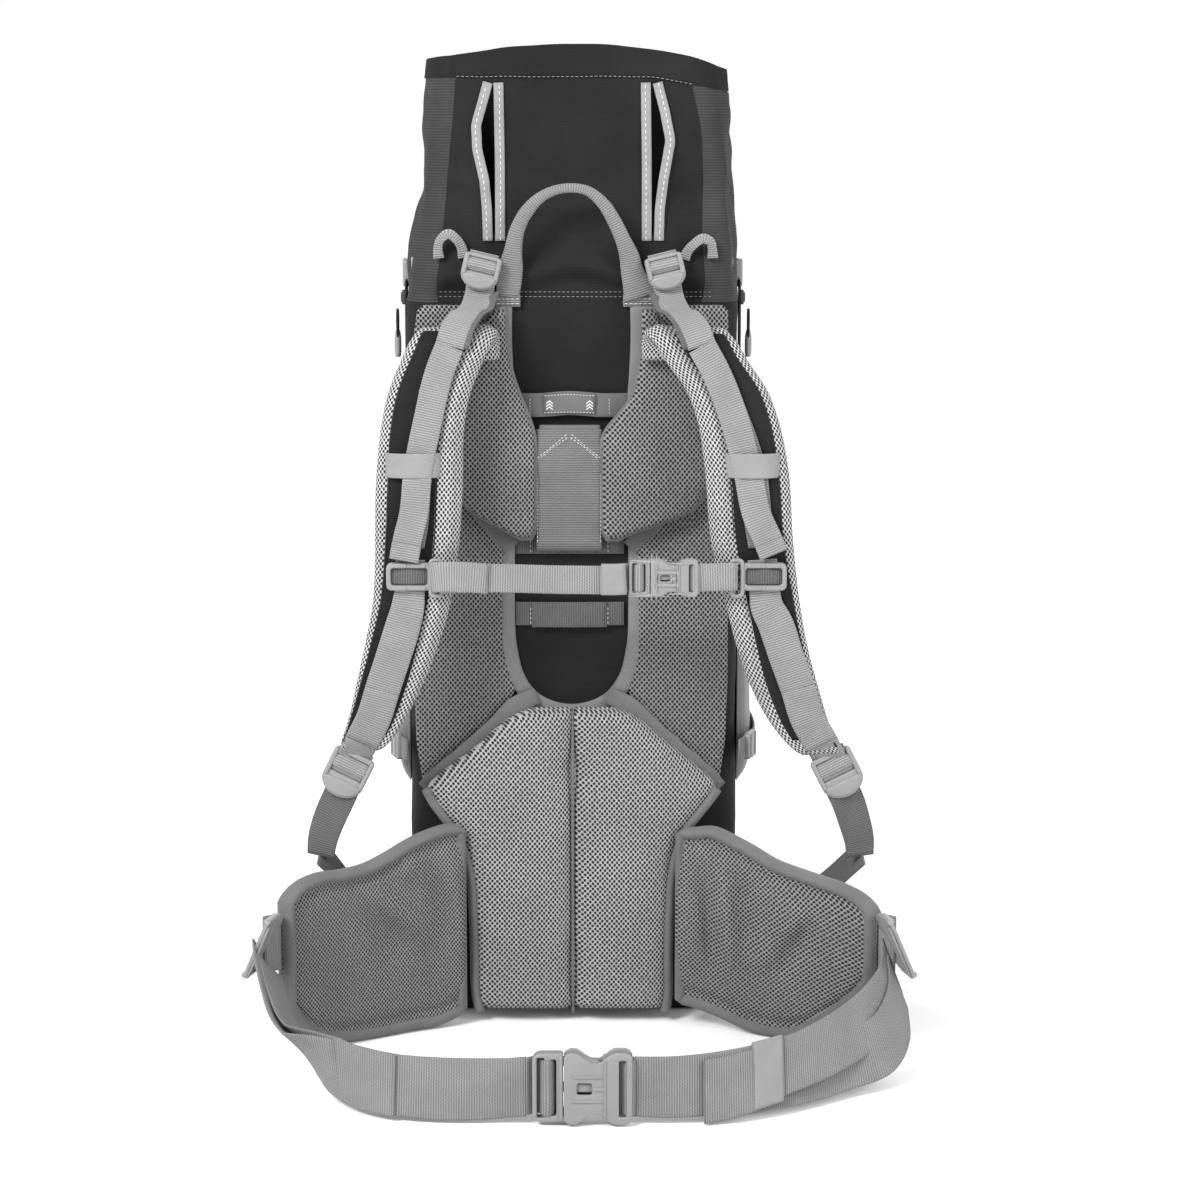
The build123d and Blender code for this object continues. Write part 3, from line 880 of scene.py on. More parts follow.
border_path = [(-61, 3, 640, 18), (-63, 3, 608, 21), (-60, 3, 575, 18), (-55, 3, 547, 12),
               (-54.5, 3, 516, 12), (-56.5, 3, 450, 13), (-58, 3, 379, 14), (-56, 3, 335, 14),
               (-49, 3, 308, 14), (-36, 3, 290, 14), (-19, 3, 281, 13.5), (-1, 3, 278, 13.5),
               (17, 3, 281, 13.5), (34, 3, 290, 14), (47, 3, 308, 14), (54, 3, 335, 14), (56, 3, 379, 14),
               (54.5, 3, 450, 13), (52.5, 3, 516, 12), (53, 3, 547, 12), (58, 3, 575, 18), (61, 3, 608, 21),
               (59, 3, 640, 18)]
border, info = pad("window_border", border_path, 6.5, M_BORDER, across=in_plane, front=2.4, rear=5,
                   ends=(3, 3), step=4, seg=24)
done(border, "pack", ("window_border",))

rim_runs = [[at(x, 6.3, z) for x, _, z, _ in border_path]]
done(stitches("window_border_stitches", rim_runs, M_THREAD_DARK, radius=0.3, stitch=2.4, gap=1.4), "pack")
seam_line = world(route([(0, 23, 283), (0, 27, 265), (0, 29, 200), (0, 29, 100), (0, 27, 20), (0, 22, 6)],
                        90))
done(piping("lumbar_seam", seam_line, 1.3, M_TAPE), "pack")


# ------------------------------------------------------------------ moulded parts
def moulded(name, outlines, thick, bevel, origin, x_dir, y_dir, mat):
    """Plate with rounded edges from closed outlines in millimetres, the outer one first and then the holes.
    The outlines lie in the plane of x_dir and y_dir."""
    curve = bpy.data.curves.new(name, "CURVE")
    curve.dimensions = "2D"
    curve.fill_mode = "BOTH"
    curve.extrude = max(thick / 2 - bevel, 0.05) / 1000
    curve.bevel_depth = bevel / 1000
    curve.bevel_resolution = 2
    curve.offset = -bevel / 1000
    for outline in outlines:
        spline = curve.splines.new("POLY")
        spline.points.add(len(outline) - 1)
        for p, (x, y) in zip(spline.points, outline):
            p.co = (x / 1000, y / 1000, 0, 1)
        spline.use_cyclic_u = True
    temp = bpy.data.objects.new(name, curve)
    bpy.context.collection.objects.link(temp)
    bpy.context.view_layer.update()
    mesh = bpy.data.meshes.new_from_object(temp)
    bpy.data.objects.remove(temp)
    mesh.materials.clear()
    mesh.materials.append(mat)
    x = unit(np.array(x_dir, float))
    y = np.array(y_dir, float)
    y = unit(y - x * (x @ y))
    z = np.cross(x, y)
    co = np.empty(len(mesh.vertices) * 3)
    mesh.vertices.foreach_get("co", co)
    co = co.reshape(-1, 3)
    co = np.asarray(origin) + co[:, :1] * x + co[:, 1:2] * y + co[:, 2:] * z
    mesh.vertices.foreach_set("co", co.ravel())
    obj = bpy.data.objects.new(name, mesh)
    bpy.context.collection.objects.link(obj)
    bm = bmesh.new()
    bm.from_mesh(mesh)
    bmesh.ops.remove_doubles(bm, verts=bm.verts, dist=1e-6)
    bmesh.ops.recalc_face_normals(bm, faces=bm.faces)
    bm.to_mesh(mesh)
    bm.free()
    mesh.shade_smooth()
    mesh.set_sharp_from_angle(angle=math.radians(40))
    return obj


def facing(name, outlines, thick, bevel, depth):
    """Grey moulded plate that faces the wearer, with outlines of (x, z)."""
    return moulded(name, outlines, thick, bevel, at(0, depth, 0), (1, 0, 0), (0, 0, 1), M_PLASTIC)


def rounded(w, h, r, cx=0.0, cy=0.0, steps=6):
    """Rounded rectangle outline; r is one radius or four, from the right top corner round by the left."""
    rs = r if isinstance(r, (tuple, list)) else (r,) * 4
    pts = []
    for k, (sx, sy) in enumerate(((1, 1), (-1, 1), (-1, -1), (1, -1))):
        q = rs[k]
        for i in range(steps + 1):
            a = math.radians(90 * k + 90 * i / steps)
            pts.append((cx + sx * (w / 2 - q) + q * math.cos(a), cy + sy * (h / 2 - q) + q * math.sin(a)))
    return pts


def join(name, objs):
    """One mesh from several, keeping materials and UVs."""
    bpy.context.view_layer.update()
    target = objs[0]
    with bpy.context.temp_override(active_object=target, object=target, selected_objects=objs,
                                   selected_editable_objects=objs):
        bpy.ops.object.join()
    target.name = name
    return target


def ladder(name, strap, origin, along, face, mat, size=1.0, web=None):
    """Webbing adjuster: two slots at the top, rounded thumb tab at the end that along points to.
    Returns the moulding and the webbing that runs over its middle bar."""
    along, face = unit(np.array(along, float)), unit(np.array(face, float))
    across = np.cross(along, face)
    wide = strap + 8
    h = 26 * size
    tab = [(wide / 2 * math.cos(a), h / 2 - 5 + wide * 0.40 * math.sin(a))
           for a in np.linspace(0, math.pi, 17)]
    corner = [(-wide / 2 + 4 - 4 * math.cos(a), -h / 2 + 4 - 4 * math.sin(a))
              for a in np.linspace(0, math.pi / 2, 5)]
    outer_line = tab + corner + [(-x, y) for x, y in corner[::-1]]
    holes = [rounded(strap + 1.5, 5.2 * size, 1.6, 0, -h / 2 + 6.4 * size),
             rounded(strap + 1.5, 5.6 * size, 1.8, 0, 2.4 * size)]
    parts = [moulded(name, [outer_line, *holes], 4.2, 1.2, origin, across, along, mat)]
    lip = [(wide * 0.45 * math.cos(a), h / 2 - 4.5 + wide * 0.35 * math.sin(a))
           for a in np.linspace(0, math.pi, 15)]
    parts.append(moulded(name + "_lip", [lip], 3.4, 1.4, origin + face * 0.0018, across, along, mat))
    for sx in (-1, 1):
        parts.append(moulded(name + "_rail", [rounded(4.2, h * 0.86, 2, sx * (wide / 2 - 2.4), -1)], 6.4, 1.8,
                             origin + face * 0.0008, across, along, mat))
    run = [(-15, -3.4), (-9.6, -2.8), (-7.4, 0.8), (-4.6, 2.4), (-1.9, 3.0), (0.6, 2.4), (2.2, 0.6),
           (3.6, 0.3), (5.0, -0.6)]
    pts = [origin + along * (q * size / 1000) + face * (lift / 1000) for q, lift in run]
    over = tape(name + "_webbing", from_world(np.array(pts)), strap, web or M_WEB, across=tuple(across),
                face=tuple(face), thick=1.7, step=1.5, fixed=True)
    return join(name, parts), over


# ------------------------------------------------------------------ shoulder straps
SHOULDER = {"left": [(-92, 34, 594, 60), (-94, 38, 610, 64), (-97, 48, 617, 68), (-102, 58, 611, 70),
                     (-112, 64, 590, 70), (-121, 69, 567, 70), (-127, 73, 535, 71), (-129.5, 77, 494, 74),
                     (-132, 80, 440, 72), (-137, 80, 390, 67), (-147, 78, 350, 63), (-158, 75, 315, 57),
                     (-168, 72, 288, 50), (-180, 68.5, 264, 42), (-184, 68, 257, 38)],
            "right": [(90, 34, 594, 60), (92, 38, 610, 64), (97, 48, 617, 68), (104, 58, 611, 70),
                      (117, 64, 591, 70), (132, 69, 569, 69), (141, 73, 545, 69), (148, 77, 508, 71),
                      (154, 80, 440, 70), (163, 80, 390, 64), (172, 78, 350, 61), (184, 75, 312, 58),
                      (198, 72, 280, 50), (211, 68.5, 260, 42), (216, 68, 253, 38)], }
RAIL = {
    "left": [(-117, 76.6, 572), (-121, 82, 545), (-130, 87, 503), (-134, 90, 455), (-137, 91, 438)],
    "right": [(129, 77, 572), (138, 82, 550), (152, 87, 508), (159, 90, 455), (162, 91, 438)],
}
RAIL_LOW = {"left": [(-137, 90, 428, 25), (-138, 91, 402, 26), (-139.5, 91.5, 388, 28), (-144, 90.5, 371, 30),
                     (-153, 88, 343, 30), (-163, 84.5, 313, 30), (-171, 80, 288, 30), (-182, 74, 266, 30),
                     (-188, 66.5, 254, 30), (-191, 61.5, 247, 30)],
            "right": [(162, 90, 428, 25), (164, 91, 402, 26), (166, 91.5, 388, 28), (173, 90.5, 374, 30),
                      (183, 88, 345, 30), (194, 84.5, 315, 30), (203, 80, 287, 30), (216, 74, 264, 30),
                      (222, 66.5, 252, 30), (225, 61.5, 246, 30)], }
LIFTER = {"left": [(-78, 14, 664), (-80, 14.5, 650), (-84, 30, 638), (-91, 54, 634), (-98, 69, 624),
                   (-103, 75, 608), (-111, 78.5, 588), (-121, 84, 548), (-130, 89.5, 503), (-134, 93, 466),
                   (-139, 97, 446), (-142, 97.5, 429)],
          "right": [(81, 14, 664), (83, 14.5, 650), (88, 30, 638), (96, 54, 634), (104, 69, 624),
                    (110, 75, 608), (121, 78.5, 588), (137, 84, 548), (149, 89.5, 503), (157, 93, 466),
                    (166, 97, 446), (171, 97.5, 434)], }
LOWER = {"left": [(-199, 62, 224, 30), (-205, 61.5, 211, 30), (-213, 60, 193, 29), (-219, 58, 174, 27),
                  (-221, 56, 160, 25)], "right": [(234, 62, 224, 30), (240, 61.5, 211, 30),
                                                  (246, 60, 193, 29), (251, 58, 174, 27), (252, 56, 160, 25)],
         }
LOWER_END = {"left": [(-222, 54, 163), (-214, 46, 152), (-200, 30, 128), (-178, 5, 90), (-157, -14, 58),
                      (-151, -22, 50)], "right": [(254, 54, 163), (245, 46, 152), (226, 30, 128),
                                                  (190, 5, 90), (158, -14, 58), (151, -22, 50)], }
SLIDER_X = {t: (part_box(f"sternum_slider_{t}")[0][0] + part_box(f"sternum_slider_{t}")[1][0]) * 500 for t,
            _ in SIDES}
CHEST_Z = (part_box("sternum_female")[0][2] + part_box("sternum_female")[1][2]) * 500
CHEST_DEPTH = (BACK - (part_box("sternum_female")[0][1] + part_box("sternum_female")[1][1]) / 2) * 1000


def centre(node):
    a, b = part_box(node)
    return (np.array(a) + np.array(b)) / 2


def blended(obj, nodes=()):
    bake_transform(obj)
    if nodes:
        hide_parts(*nodes)
    return obj


for tag, s in SIDES:
    body = f"strap_{tag}"
    flip = 1.0 if s == LEFT else -1.0

    off, half_core = 5.2, 20.5

    def roll(a, d, total):
        o = a * flip
        narrow = float(np.interp(d / total, [0, 0.7, 1], [0, 0, 0.2]))
        grow = 5.2 * math.exp(-((o + 0.70 + narrow) / 0.2) ** 2) + 2.2 * math.exp(-((o - 0.88) / 0.12) ** 2)
        return grow * min(1, d / 60) - 2.0 * math.exp(-((o - 0.14) / 0.42) ** 4)

    # the lighter mesh copy here is partly painted highlight, matched to the lit inner rolls
    pad_obj, info = pad(f"shoulder_pad_{tag}", SHOULDER[tag], 13.0, M_MESH_LIGHT, front=2.6, rear=2.8,
                        ends=(0, 12), step=4, seg=60, shape=roll)
    done(pad_obj, body, (f"shoulder_pad_{tag}",))
    keep = info["path"][:, 1] < BACK - 0.0535
    start = int(np.argmax(keep))
    last = len(info["path"]) - 3
    core_half = np.minimum(half_core / 1000, info["w"] * 0.80)
    core_off = np.minimum(off / 1000, (info["w"] - core_half) * 0.45)
    core = (info["path"] + info["side"] * (flip * core_off)[:, None] + info["out"] * 0.0056)[start:last]
    rows = np.hstack([from_world(core), (core_half[start:last] * 2000)[:, None]])
    core_obj = tape(f"shoulder_core_{tag}", rows[::3], 30, M_BLACK, thick=2.4, fixed=True)
    done(core_obj, body)
    for name, e in (("in", -1), ("out", 1)):
        line = (info["path"] + info["side"] * (flip * (core_off + e * core_half))[:, None]
                + info["out"] * 0.0060)
        done(piping(f"shoulder_seam_{tag}_{name}", line[start:last], 1.1, M_TAPE_BLACK), body)

    # painted shade: the stretch of shoulder webbing under the lifter tail takes the darker webbing_mid copy;
    # the same strap below the tail is the light webbing
    rail = tape(f"rail_webbing_{tag}", RAIL[tag], 24, M_WEB_MID, thick=1.8, fixed=True, wave=0.8,
                seed=s * 3.0)
    done(rail, body, (f"rail_webbing_{tag}",))
    low_rail = tape(f"rail_webbing_low_{tag}", RAIL_LOW[tag], 30, M_WEB, thick=2.0, wave=1.6, seed=s * 3.5,
                    crown=0.5)
    done(low_rail, body)
    lap = [tuple(np.array(RAIL_LOW[tag][q][:3]) + np.array([0, 1.6, 0])) for q in (5, 6, 7)]
    done(tape(f"rail_lap_{tag}", lap, 29.5, M_WEB, thick=1.8), body)
    upper = tape(f"lifter_upper_{tag}", LIFTER[tag][:6], 24.5, M_WEB, thick=1.8, wave=1.5, seed=s * 5.0)
    blended(upper)
    # painted shade: the lifter's under-layer is the same webbing in its darkest copy, standing in for the
    # shade beneath the tail
    under = [tuple(np.array(p) + np.array([-s * 5.5, -3.0, -1.0])) for p in LIFTER[tag][1:6]]
    under_obj = tape(f"lifter_under_{tag}", under, 24.5, M_WEB_LOW, across=(1, 0.5 * s, 0), thick=1.6)
    blended(under_obj)
    lower = tape(f"lifter_webbing_{tag}", LIFTER[tag][5:], 24.5, M_WEB, thick=1.8, wave=1.4, seed=s * 5.0)
    blended(lower, (f"lifter_webbing_{tag}",))
    tip = np.array(LIFTER[tag][-1], float)
    back_step = np.array(LIFTER[tag][-2], float) - tip
    hem_fold = tape(f"lifter_hem_{tag}",
                    [tuple(tip + back_step * f + np.array([0, 1.8, 0])) for f in (0.75, 0.4, -0.04)], 25.0,
                    M_WEB, thick=2.6)
    done(hem_fold, body)
    # elastic keeper over the webbing
    z = 508
    i = int(np.argmin(abs(info["path"][:, 2] - z / 1000) + (info["path"][:, 1] > BACK - 0.06) * 9))
    c = info["path"][i] * 1000
    cx = c[0] + info["side"][i][0] * 0.14 * flip * info["w"][i] * 1000
    half = info["w"][i] * 1000 * 0.66
    depth = (BACK - info["path"][i][1]) * 1000
    keeper = tape(f"shoulder_keeper_{tag}", [(cx - half, depth + 4, z), (cx - half * 0.9, depth + 8.5, z),
                                             (cx - half * 0.55, depth + 14.2, z), (cx, depth + 15.6, z),
                                             (cx + half * 0.55, depth + 14.2, z),
                                             (cx + half * 0.9, depth + 8.5, z), (cx + half, depth + 4, z)],
                  21, M_TAPE_LIGHT, across=(0, 0, 1), thick=1.4, step=2)
    done(keeper, body)
    # adjusters
    drop = unit(np.array([0.45 * s, 0, -0.89]))
    low, low_web = ladder(f"lower_lock_body_{tag}", 30, at(-194.5 if s == LEFT else 229.5, 66, 240), drop,
                          (0, -1, 0.0), M_PLASTIC, 1.22)
    done(low, f"lower_lock_{tag}", (f"lower_lock_{tag}",))
    done(low_web, f"lower_lock_{tag}")
    tilt = unit(np.array([0.24 * s, 0, -1.0]))
    high, high_web = ladder(f"lifter_lock_body_{tag}", 25, at(-78 if s == LEFT else 80, 19.5, 671), tilt,
                            (0, -1, -0.05), M_PLASTIC, 0.86)
    done(high, f"lifter_lock_{tag}", (f"lifter_lock_{tag}",))
    done(high_web, f"lifter_lock_{tag}")
    # webbing from the lower adjuster to the pack's lower corner
    first = tape(f"lower_webbing_{tag}", LOWER[tag], 30, M_WEB_LOW, across=(1, 0.25 * s, 0), thick=1.8,
                 wave=1.5, seed=s * 7.0)
    blended(first, (f"lower_webbing_{tag}",))
    second = tape(f"lower_webbing_end_{tag}", LOWER_END[tag], 27, M_WEB_LOW, across=(0.3 * s, 0.2, 0.95),
                  thick=1.8)
    blended(second)

    # chest strap slider
    x = SLIDER_X[tag]
    mid_depth = 92.0
    ring_parts = [facing(f"sternum_slider_body_{tag}",
                         [rounded(39, 24, 5, x, CHEST_Z), rounded(31, 14.5, 2.5, x, CHEST_Z)], 7.5, 1.6,
                         mid_depth + 1.2)]
    for zz in (-9.6, 9.6):
        for xx in (-8, 8):
            bar = rounded(13, 4.4, 1.5, x + xx, CHEST_Z + zz)
            ring_parts.append(facing("bar", [bar], 9.5, 1.5, mid_depth + 1.2))
    slider = join(f"sternum_slider_body_{tag}", ring_parts)
    done(slider, f"sternum_{tag}", (f"sternum_slider_{tag}",))
    window = tape(f"sternum_slider_web_{tag}",
                  [(x - 17, mid_depth + 0.4, CHEST_Z), (x, mid_depth + 2.4, CHEST_Z),
                   (x + 17, mid_depth + 0.4, CHEST_Z)], 13.5, M_WEB_LOW, across=(0, 0, 1), thick=2.0)
    done(window, f"sternum_{tag}")
    inner_x = x - s * 20.5
    loop = facing(f"sternum_ring_{tag}", [rounded(13, 34, 4.5, inner_x - s * 2.5, CHEST_Z - 1),
                                          rounded(5.5, 27, 2.2, inner_x - s * 2.5, CHEST_Z - 1)], 4.6, 1.7,
                  mid_depth + 4)
    done(loop, f"sternum_{tag}")

# ------------------------------------------------------------------ chest strap
plug_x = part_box("sternum_male")[0][0] * 1000
strap_l = tape("sternum_webbing_left", [(-119, CHEST_DEPTH - 2.5, CHEST_Z), (-112, CHEST_DEPTH + 1, CHEST_Z),
                                        (-60, CHEST_DEPTH, CHEST_Z - 0.5), (0, CHEST_DEPTH - 1, CHEST_Z - 2),
                                        (40, CHEST_DEPTH, CHEST_Z - 1), (plug_x - 2, CHEST_DEPTH, CHEST_Z)],
               24.5, M_WEB, across=(0, 0, 1), thick=1.8, wave=1.2, seed=2.0)
blended(strap_l,
        ("sternum_webbing_left",))
flap = tape("sternum_flap_left",
            [(-118.5, CHEST_DEPTH + 0.5, CHEST_Z), (-112, CHEST_DEPTH + 3.5, CHEST_Z + 1),
             (-90, CHEST_DEPTH + 4, CHEST_Z + 1), (-71, CHEST_DEPTH + 3.4, CHEST_Z - 0.5)], 26, M_WEB,
            across=(0, 0, 1), thick=2.6, wave=1.0, seed=4.0)
done(flap, "sternum_left")
keep = tape("sternum_keeper", [(25, CHEST_DEPTH + 3.4, CHEST_Z - 1), (36, CHEST_DEPTH + 3.8, CHEST_Z - 1),
                               (46, CHEST_DEPTH + 3.6, CHEST_Z - 0.5)], 27, M_TAPE_LIGHT, across=(0, 0, 1),
            thick=3.4)
blended(keep)
far = SLIDER_X["right"] - 23
strap_r = tape("sternum_webbing_right", [(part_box("sternum_female")[1][0] * 1000 - 1, CHEST_DEPTH, CHEST_Z),
                                         (118, CHEST_DEPTH + 1, CHEST_Z + 0.5),
                                         (130, CHEST_DEPTH + 2.5, CHEST_Z + 1),
                                         (far, CHEST_DEPTH, CHEST_Z + 1)], 24, M_WEB, across=(0, 0, 1),
               thick=3.4, wave=1.0, seed=8.0)
done(strap_r, "sternum_right", ("sternum_webbing_right",))


def release_buckle(tag, socket, plug, strap, scale, socket_body, plug_body, web):
    """Side-release pair built over the CAD solids: socket on +X, plug on -X."""
    a, b = (np.array(q) * 1000 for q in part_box(socket))
    long, high, thick = b[0] - a[0], b[2] - a[2], b[1] - a[1]
    cx, cz = a[0], (a[2] + b[2]) / 2
    depth = (BACK * 1000 - (a[1] + b[1]) / 2)

    # waisted socket outline, bulging at the mouth and at the strap bar
    upper = []
    for t, half in ((0.0, 0.43), (0.03, 0.47), (0.10, 0.50), (0.20, 0.49), (0.30, 0.42), (0.40, 0.365),
                    (0.50, 0.36), (0.58, 0.39), (0.66, 0.46), (0.74, 0.50), (0.90, 0.50), (0.97, 0.47),
                    (1.0, 0.42)):
        upper.append((cx + long * t, cz + high * half))
    outline = (upper + [(x, 2 * cz - z) for x, z in upper[::-1]])[::-1]
    slot = rounded(long * 0.11, strap * 0.94, 1.5, cx + long * 0.86, cz)
    window = rounded(long * 0.22, high * 0.16, 2.0, cx + long * 0.30, cz)
    parts = [facing("shell_front", [outline, slot, window], 3.0 * scale, 1.0,
                    depth + thick / 2 - 1.5 * scale), facing("shell_rear", [outline, slot], 3.0 * scale, 1.0,
                                                             depth - thick / 2 + 1.5 * scale)]
    parts.append(facing("block", [rounded(long * 0.20, high * 0.84, 1.5, cx + long * 0.67, cz)], thick * 0.92,
                        0.8, depth))
    parts.append(facing("bar", [rounded(long * 0.075, high * 0.80, 1.4, cx + long * 0.955, cz)], thick * 0.75,
                        1.2, depth))
    for q in (-1, 1):
        parts.append(facing("ridge",
                            [rounded(long * 0.44, high * 0.035, 0.9, cx + long * 0.34, cz + q * high * 0.17)],
                            2.2, 0.7, depth + thick / 2))
        parts.append(facing("rail",
                            [rounded(long * 0.12, high * 0.06, 1.0, cx + long * 0.07, cz + q * high * 0.40)],
                            thick * 0.94, 0.6, depth))
    parts.append(facing("ridge", [rounded(long * 0.035, high * 0.80, 0.9, cx + long * 0.60, cz)], 2.2, 0.7,
                         depth + thick / 2))
    parts.append(facing("tee", [rounded(long * 0.16, high * 0.05, 0.9, cx + long * 0.51, cz)], 2.0, 0.6,
                         depth + thick / 2))
    done(join(f"{tag}_socket", parts), socket_body, (socket,))
    inner = tape(f"{tag}_socket_webbing",
                 [(cx + long * 0.80, depth - 1, cz), (cx + long * 0.86, depth + 1.0, cz),
                  (cx + long * 0.95, depth + thick * 0.40, cz), (cx + long * 1.04, depth + 1.5, cz)],
                 strap * 0.93, web, across=(0, 0, 1), thick=2.0, step=1.5)
    done(inner, socket_body)
    a2, b2 = (np.array(q) * 1000 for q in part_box(plug))
    back_x = a2[0]
    frame_long = cx - back_x - 0.6
    mid = back_x + frame_long / 2
    corner = (high * 0.04, high * 0.12, high * 0.12, high * 0.04)
    parts = [facing("frame", [rounded(frame_long, high * 0.96, corner, mid, cz),
                              rounded(frame_long * 0.24, strap, 1.4, back_x + frame_long * 0.27, cz),
                              rounded(frame_long * 0.20, strap * 0.94, 1.4, back_x + frame_long * 0.68, cz)],
                    thick * 0.66, 1.4, depth),
             facing("frame_lip",
                    [rounded(frame_long * 0.14, high * 0.90, 1.4, back_x + frame_long * 0.93, cz)],
                    thick * 0.86, 1.2, depth)]
    reach = b2[0] - cx
    for q in (-1, 1):
        line = [(cx - 1.5, cz + q * high * 0.40), (cx + reach * 0.5, cz + q * high * 0.395),
                (cx + reach * 0.86, cz + q * high * 0.37), (cx + reach * 0.98, cz + q * high * 0.31),
                (cx + reach * 0.9, cz + q * high * 0.27), (cx + reach * 0.5, cz + q * high * 0.30),
                (cx - 1.5, cz + q * high * 0.31)]
        parts.append(facing("prong", [line if q < 0 else line[::-1]], thick - 6.8 * scale, 0.7, depth))
    parts.append(facing("tongue", [rounded(reach * 0.8, high * 0.12, 1.5, cx + reach * 0.38, cz)],
                        thick - 6.8 * scale, 0.7, depth))
    done(join(f"{tag}_plug", parts), plug_body, (plug,))
    over = [(-5, 1.0), (frame_long * 0.10, -thick * 0.30), (frame_long * 0.27, -1.0),
            (frame_long * 0.38, thick * 0.30), (frame_long * 0.48, thick * 0.40),
            (frame_long * 0.60, thick * 0.22), (frame_long * 0.70, -1.0)]
    back = tape(f"{tag}_plug_webbing_return",
                [(back_x - 4, depth - 1, cz), (back_x + frame_long * 0.2, depth - thick * 0.36, cz),
                 (back_x + frame_long * 0.92, depth - thick * 0.36, cz)], strap * 0.97, web, across=(0, 0, 1),
                thick=1.6, step=2)
    done(back, plug_body)
    looped = tape(f"{tag}_plug_webbing", [(back_x + x, depth + lift, cz) for x, lift in over], strap * 0.93,
                  web, across=(0, 0, 1), thick=2.0, step=1.5)
    done(looped, plug_body)


release_buckle("sternum_buckle", "sternum_female", "sternum_male", 25, 0.8, "sternum_right", "sternum_plug",
               M_WEB)
release_buckle("hip_buckle", "hip_female", "hip_male", 50, 1.0, "wing_right", "hip_plug", M_WEB_HIP)

# ------------------------------------------------------------------ yoke and back trim
yoke_box = [np.array(q) * 1000 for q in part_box("yoke_strap")]
strap_depth = BACK * 1000 - yoke_box[0][1] - 2
yoke = tape("yoke_strap_face", [(-3, strap_depth - 8, 424), (-3, strap_depth, 428),
                                (-3, strap_depth + 1, 440), (-3, strap_depth + 2, 480),
                                (-3, strap_depth + 1.5, 520), (-3, strap_depth - 2, 531)], 57, M_WEB_MID,
            thick=2.4, wave=0.6, seed=1.5)
done(yoke, "harness", ("yoke_strap",))
fold_top = tape("yoke_strap_turn", [(-2.5, strap_depth - 3, 516), (-2.5, strap_depth - 1.5, 527),
                                    (-2.5, strap_depth - 5, 534)], 53, M_WEB_MID, thick=2.4)
done(fold_top, "harness")
v_runs = []
for k in (0.0, 3.0):
    for q in (-1, 1):
        v_runs.append([at(-3 + q * (28 - k), strap_depth + 3.9, 506),
                       at(-3 + q * 14, strap_depth + 4.4, 517 - k * 0.5),
                       at(-3, strap_depth + 4.6, 529 - k * 1.3)])
v_runs.append([at(-30.5, strap_depth + 3.0, 432), at(-30.5, strap_depth + 3.2, 515)])
v_runs.append([at(24.5, strap_depth + 3.0, 432), at(24.5, strap_depth + 3.2, 515)])
done(stitches("yoke_stitches", v_runs, M_THREAD, radius=0.3, stitch=2.2, gap=1.2), "harness")

bands = []
# painted shade: the slot bands take the darkest webbing copy, standing in for the shade of the hollow between
# the back pads
for k, (z0, z1) in enumerate(((356, 377), (420, 441))):
    zc = (z0 + z1) / 2
    bands.append(tape(f"slot_band_{k}", [(-50, 3.0, zc), (-34, 4.0, zc), (-3, 5.4 - k, zc), (28, 4.2, zc),
                                         (45, 3.0, zc)], z1 - z0, M_WEB_LOW, across=(0, 0, 1), thick=2.0,
                      wave=0.8, seed=k))
    done(bands[-1], "pack")
    seam_runs = [[at(x, 6.1, z0 + 1), at(x, 6.1, z1 - 1)] for x in (-37, 31)]
    done(stitches(f"slot_band_stitches_{k}", seam_runs, M_THREAD, radius=0.33), "pack")
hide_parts("slot_bands")
# painted shade: the lap is the darkest webbing copy, as shade of the hollow between the pads
slot_lap = tape("slot_band_lap", [(-36, 6.2, 366), (-3, 7.2, 366), (30, 6.2, 366)], 22.5, M_WEB_LOW,
                across=(0, 0, 1), thick=1.8)
done(slot_lap, "pack")
tag_obj = tape("arrow_tag_band", [(-47, 3.0, 551), (-30, 4.2, 551), (-3, 6.0, 553), (26, 4.2, 551),
                                  (50, 3.0, 551)], 21, M_TAPE, across=(0, 0, 1), thick=2.0)
done(tag_obj, "pack", ("arrow_tag",))
patch = tape("arrow_patch", [(-25, 6.6, 552), (-14, 7.8, 552.6), (-3, 8.4, 553), (8, 7.8, 552.6),
                             (20, 6.6, 552)], 17, M_TAPE, across=(0, 0, 1), thick=1.6)
done(patch, "pack")


def arrow(name, x, depth, z):
    """Small plain arrow pointing up, made of three stacked chevrons."""
    verts, faces = [], []
    for k in range(3):
        z0 = z - 3.4 + k * 2.6
        base = len(verts)
        for px, pz in ((-2.9, z0), (0, z0 + 2.4), (2.9, z0), (2.9, z0 - 1.1), (0, z0 + 1.2),
                       (-2.9, z0 - 1.1)):
            verts.append(at(x + px, depth, pz))
            verts.append(at(x + px, depth - 0.7, pz))
        loop = list(range(6))
        faces.append([base + 2 * q for q in loop])
        faces.append([base + 2 * q + 1 for q in loop[::-1]])
        for q in loop:
            n = (q + 1) % 6
            faces.append([base + 2 * q, base + 2 * q + 1, base + 2 * n + 1, base + 2 * n])
    return tidy(make(name, verts, faces, None, M_THREAD, smooth=False))


done(join("tag_arrows", [arrow("tag_arrow_a", -20, 8.6, 551.5), arrow("tag_arrow_b", 15, 8.6, 551.5)]),
     "pack")
tag_runs = [[at(-25, 7.9, 559.5), at(-3, 9.5, 561), at(20, 7.9, 559.5)],
            [at(-25, 7.9, 544.5), at(-3, 9.5, 545.5), at(20, 7.9, 544.5)],
            [at(-37, 4.9, 543), at(-37, 4.9, 559)], [at(32, 4.9, 543), at(32, 4.9, 559)]]
done(stitches("tag_stitches", tag_runs, M_THREAD, radius=0.28, stitch=1.8, gap=1.0), "pack")

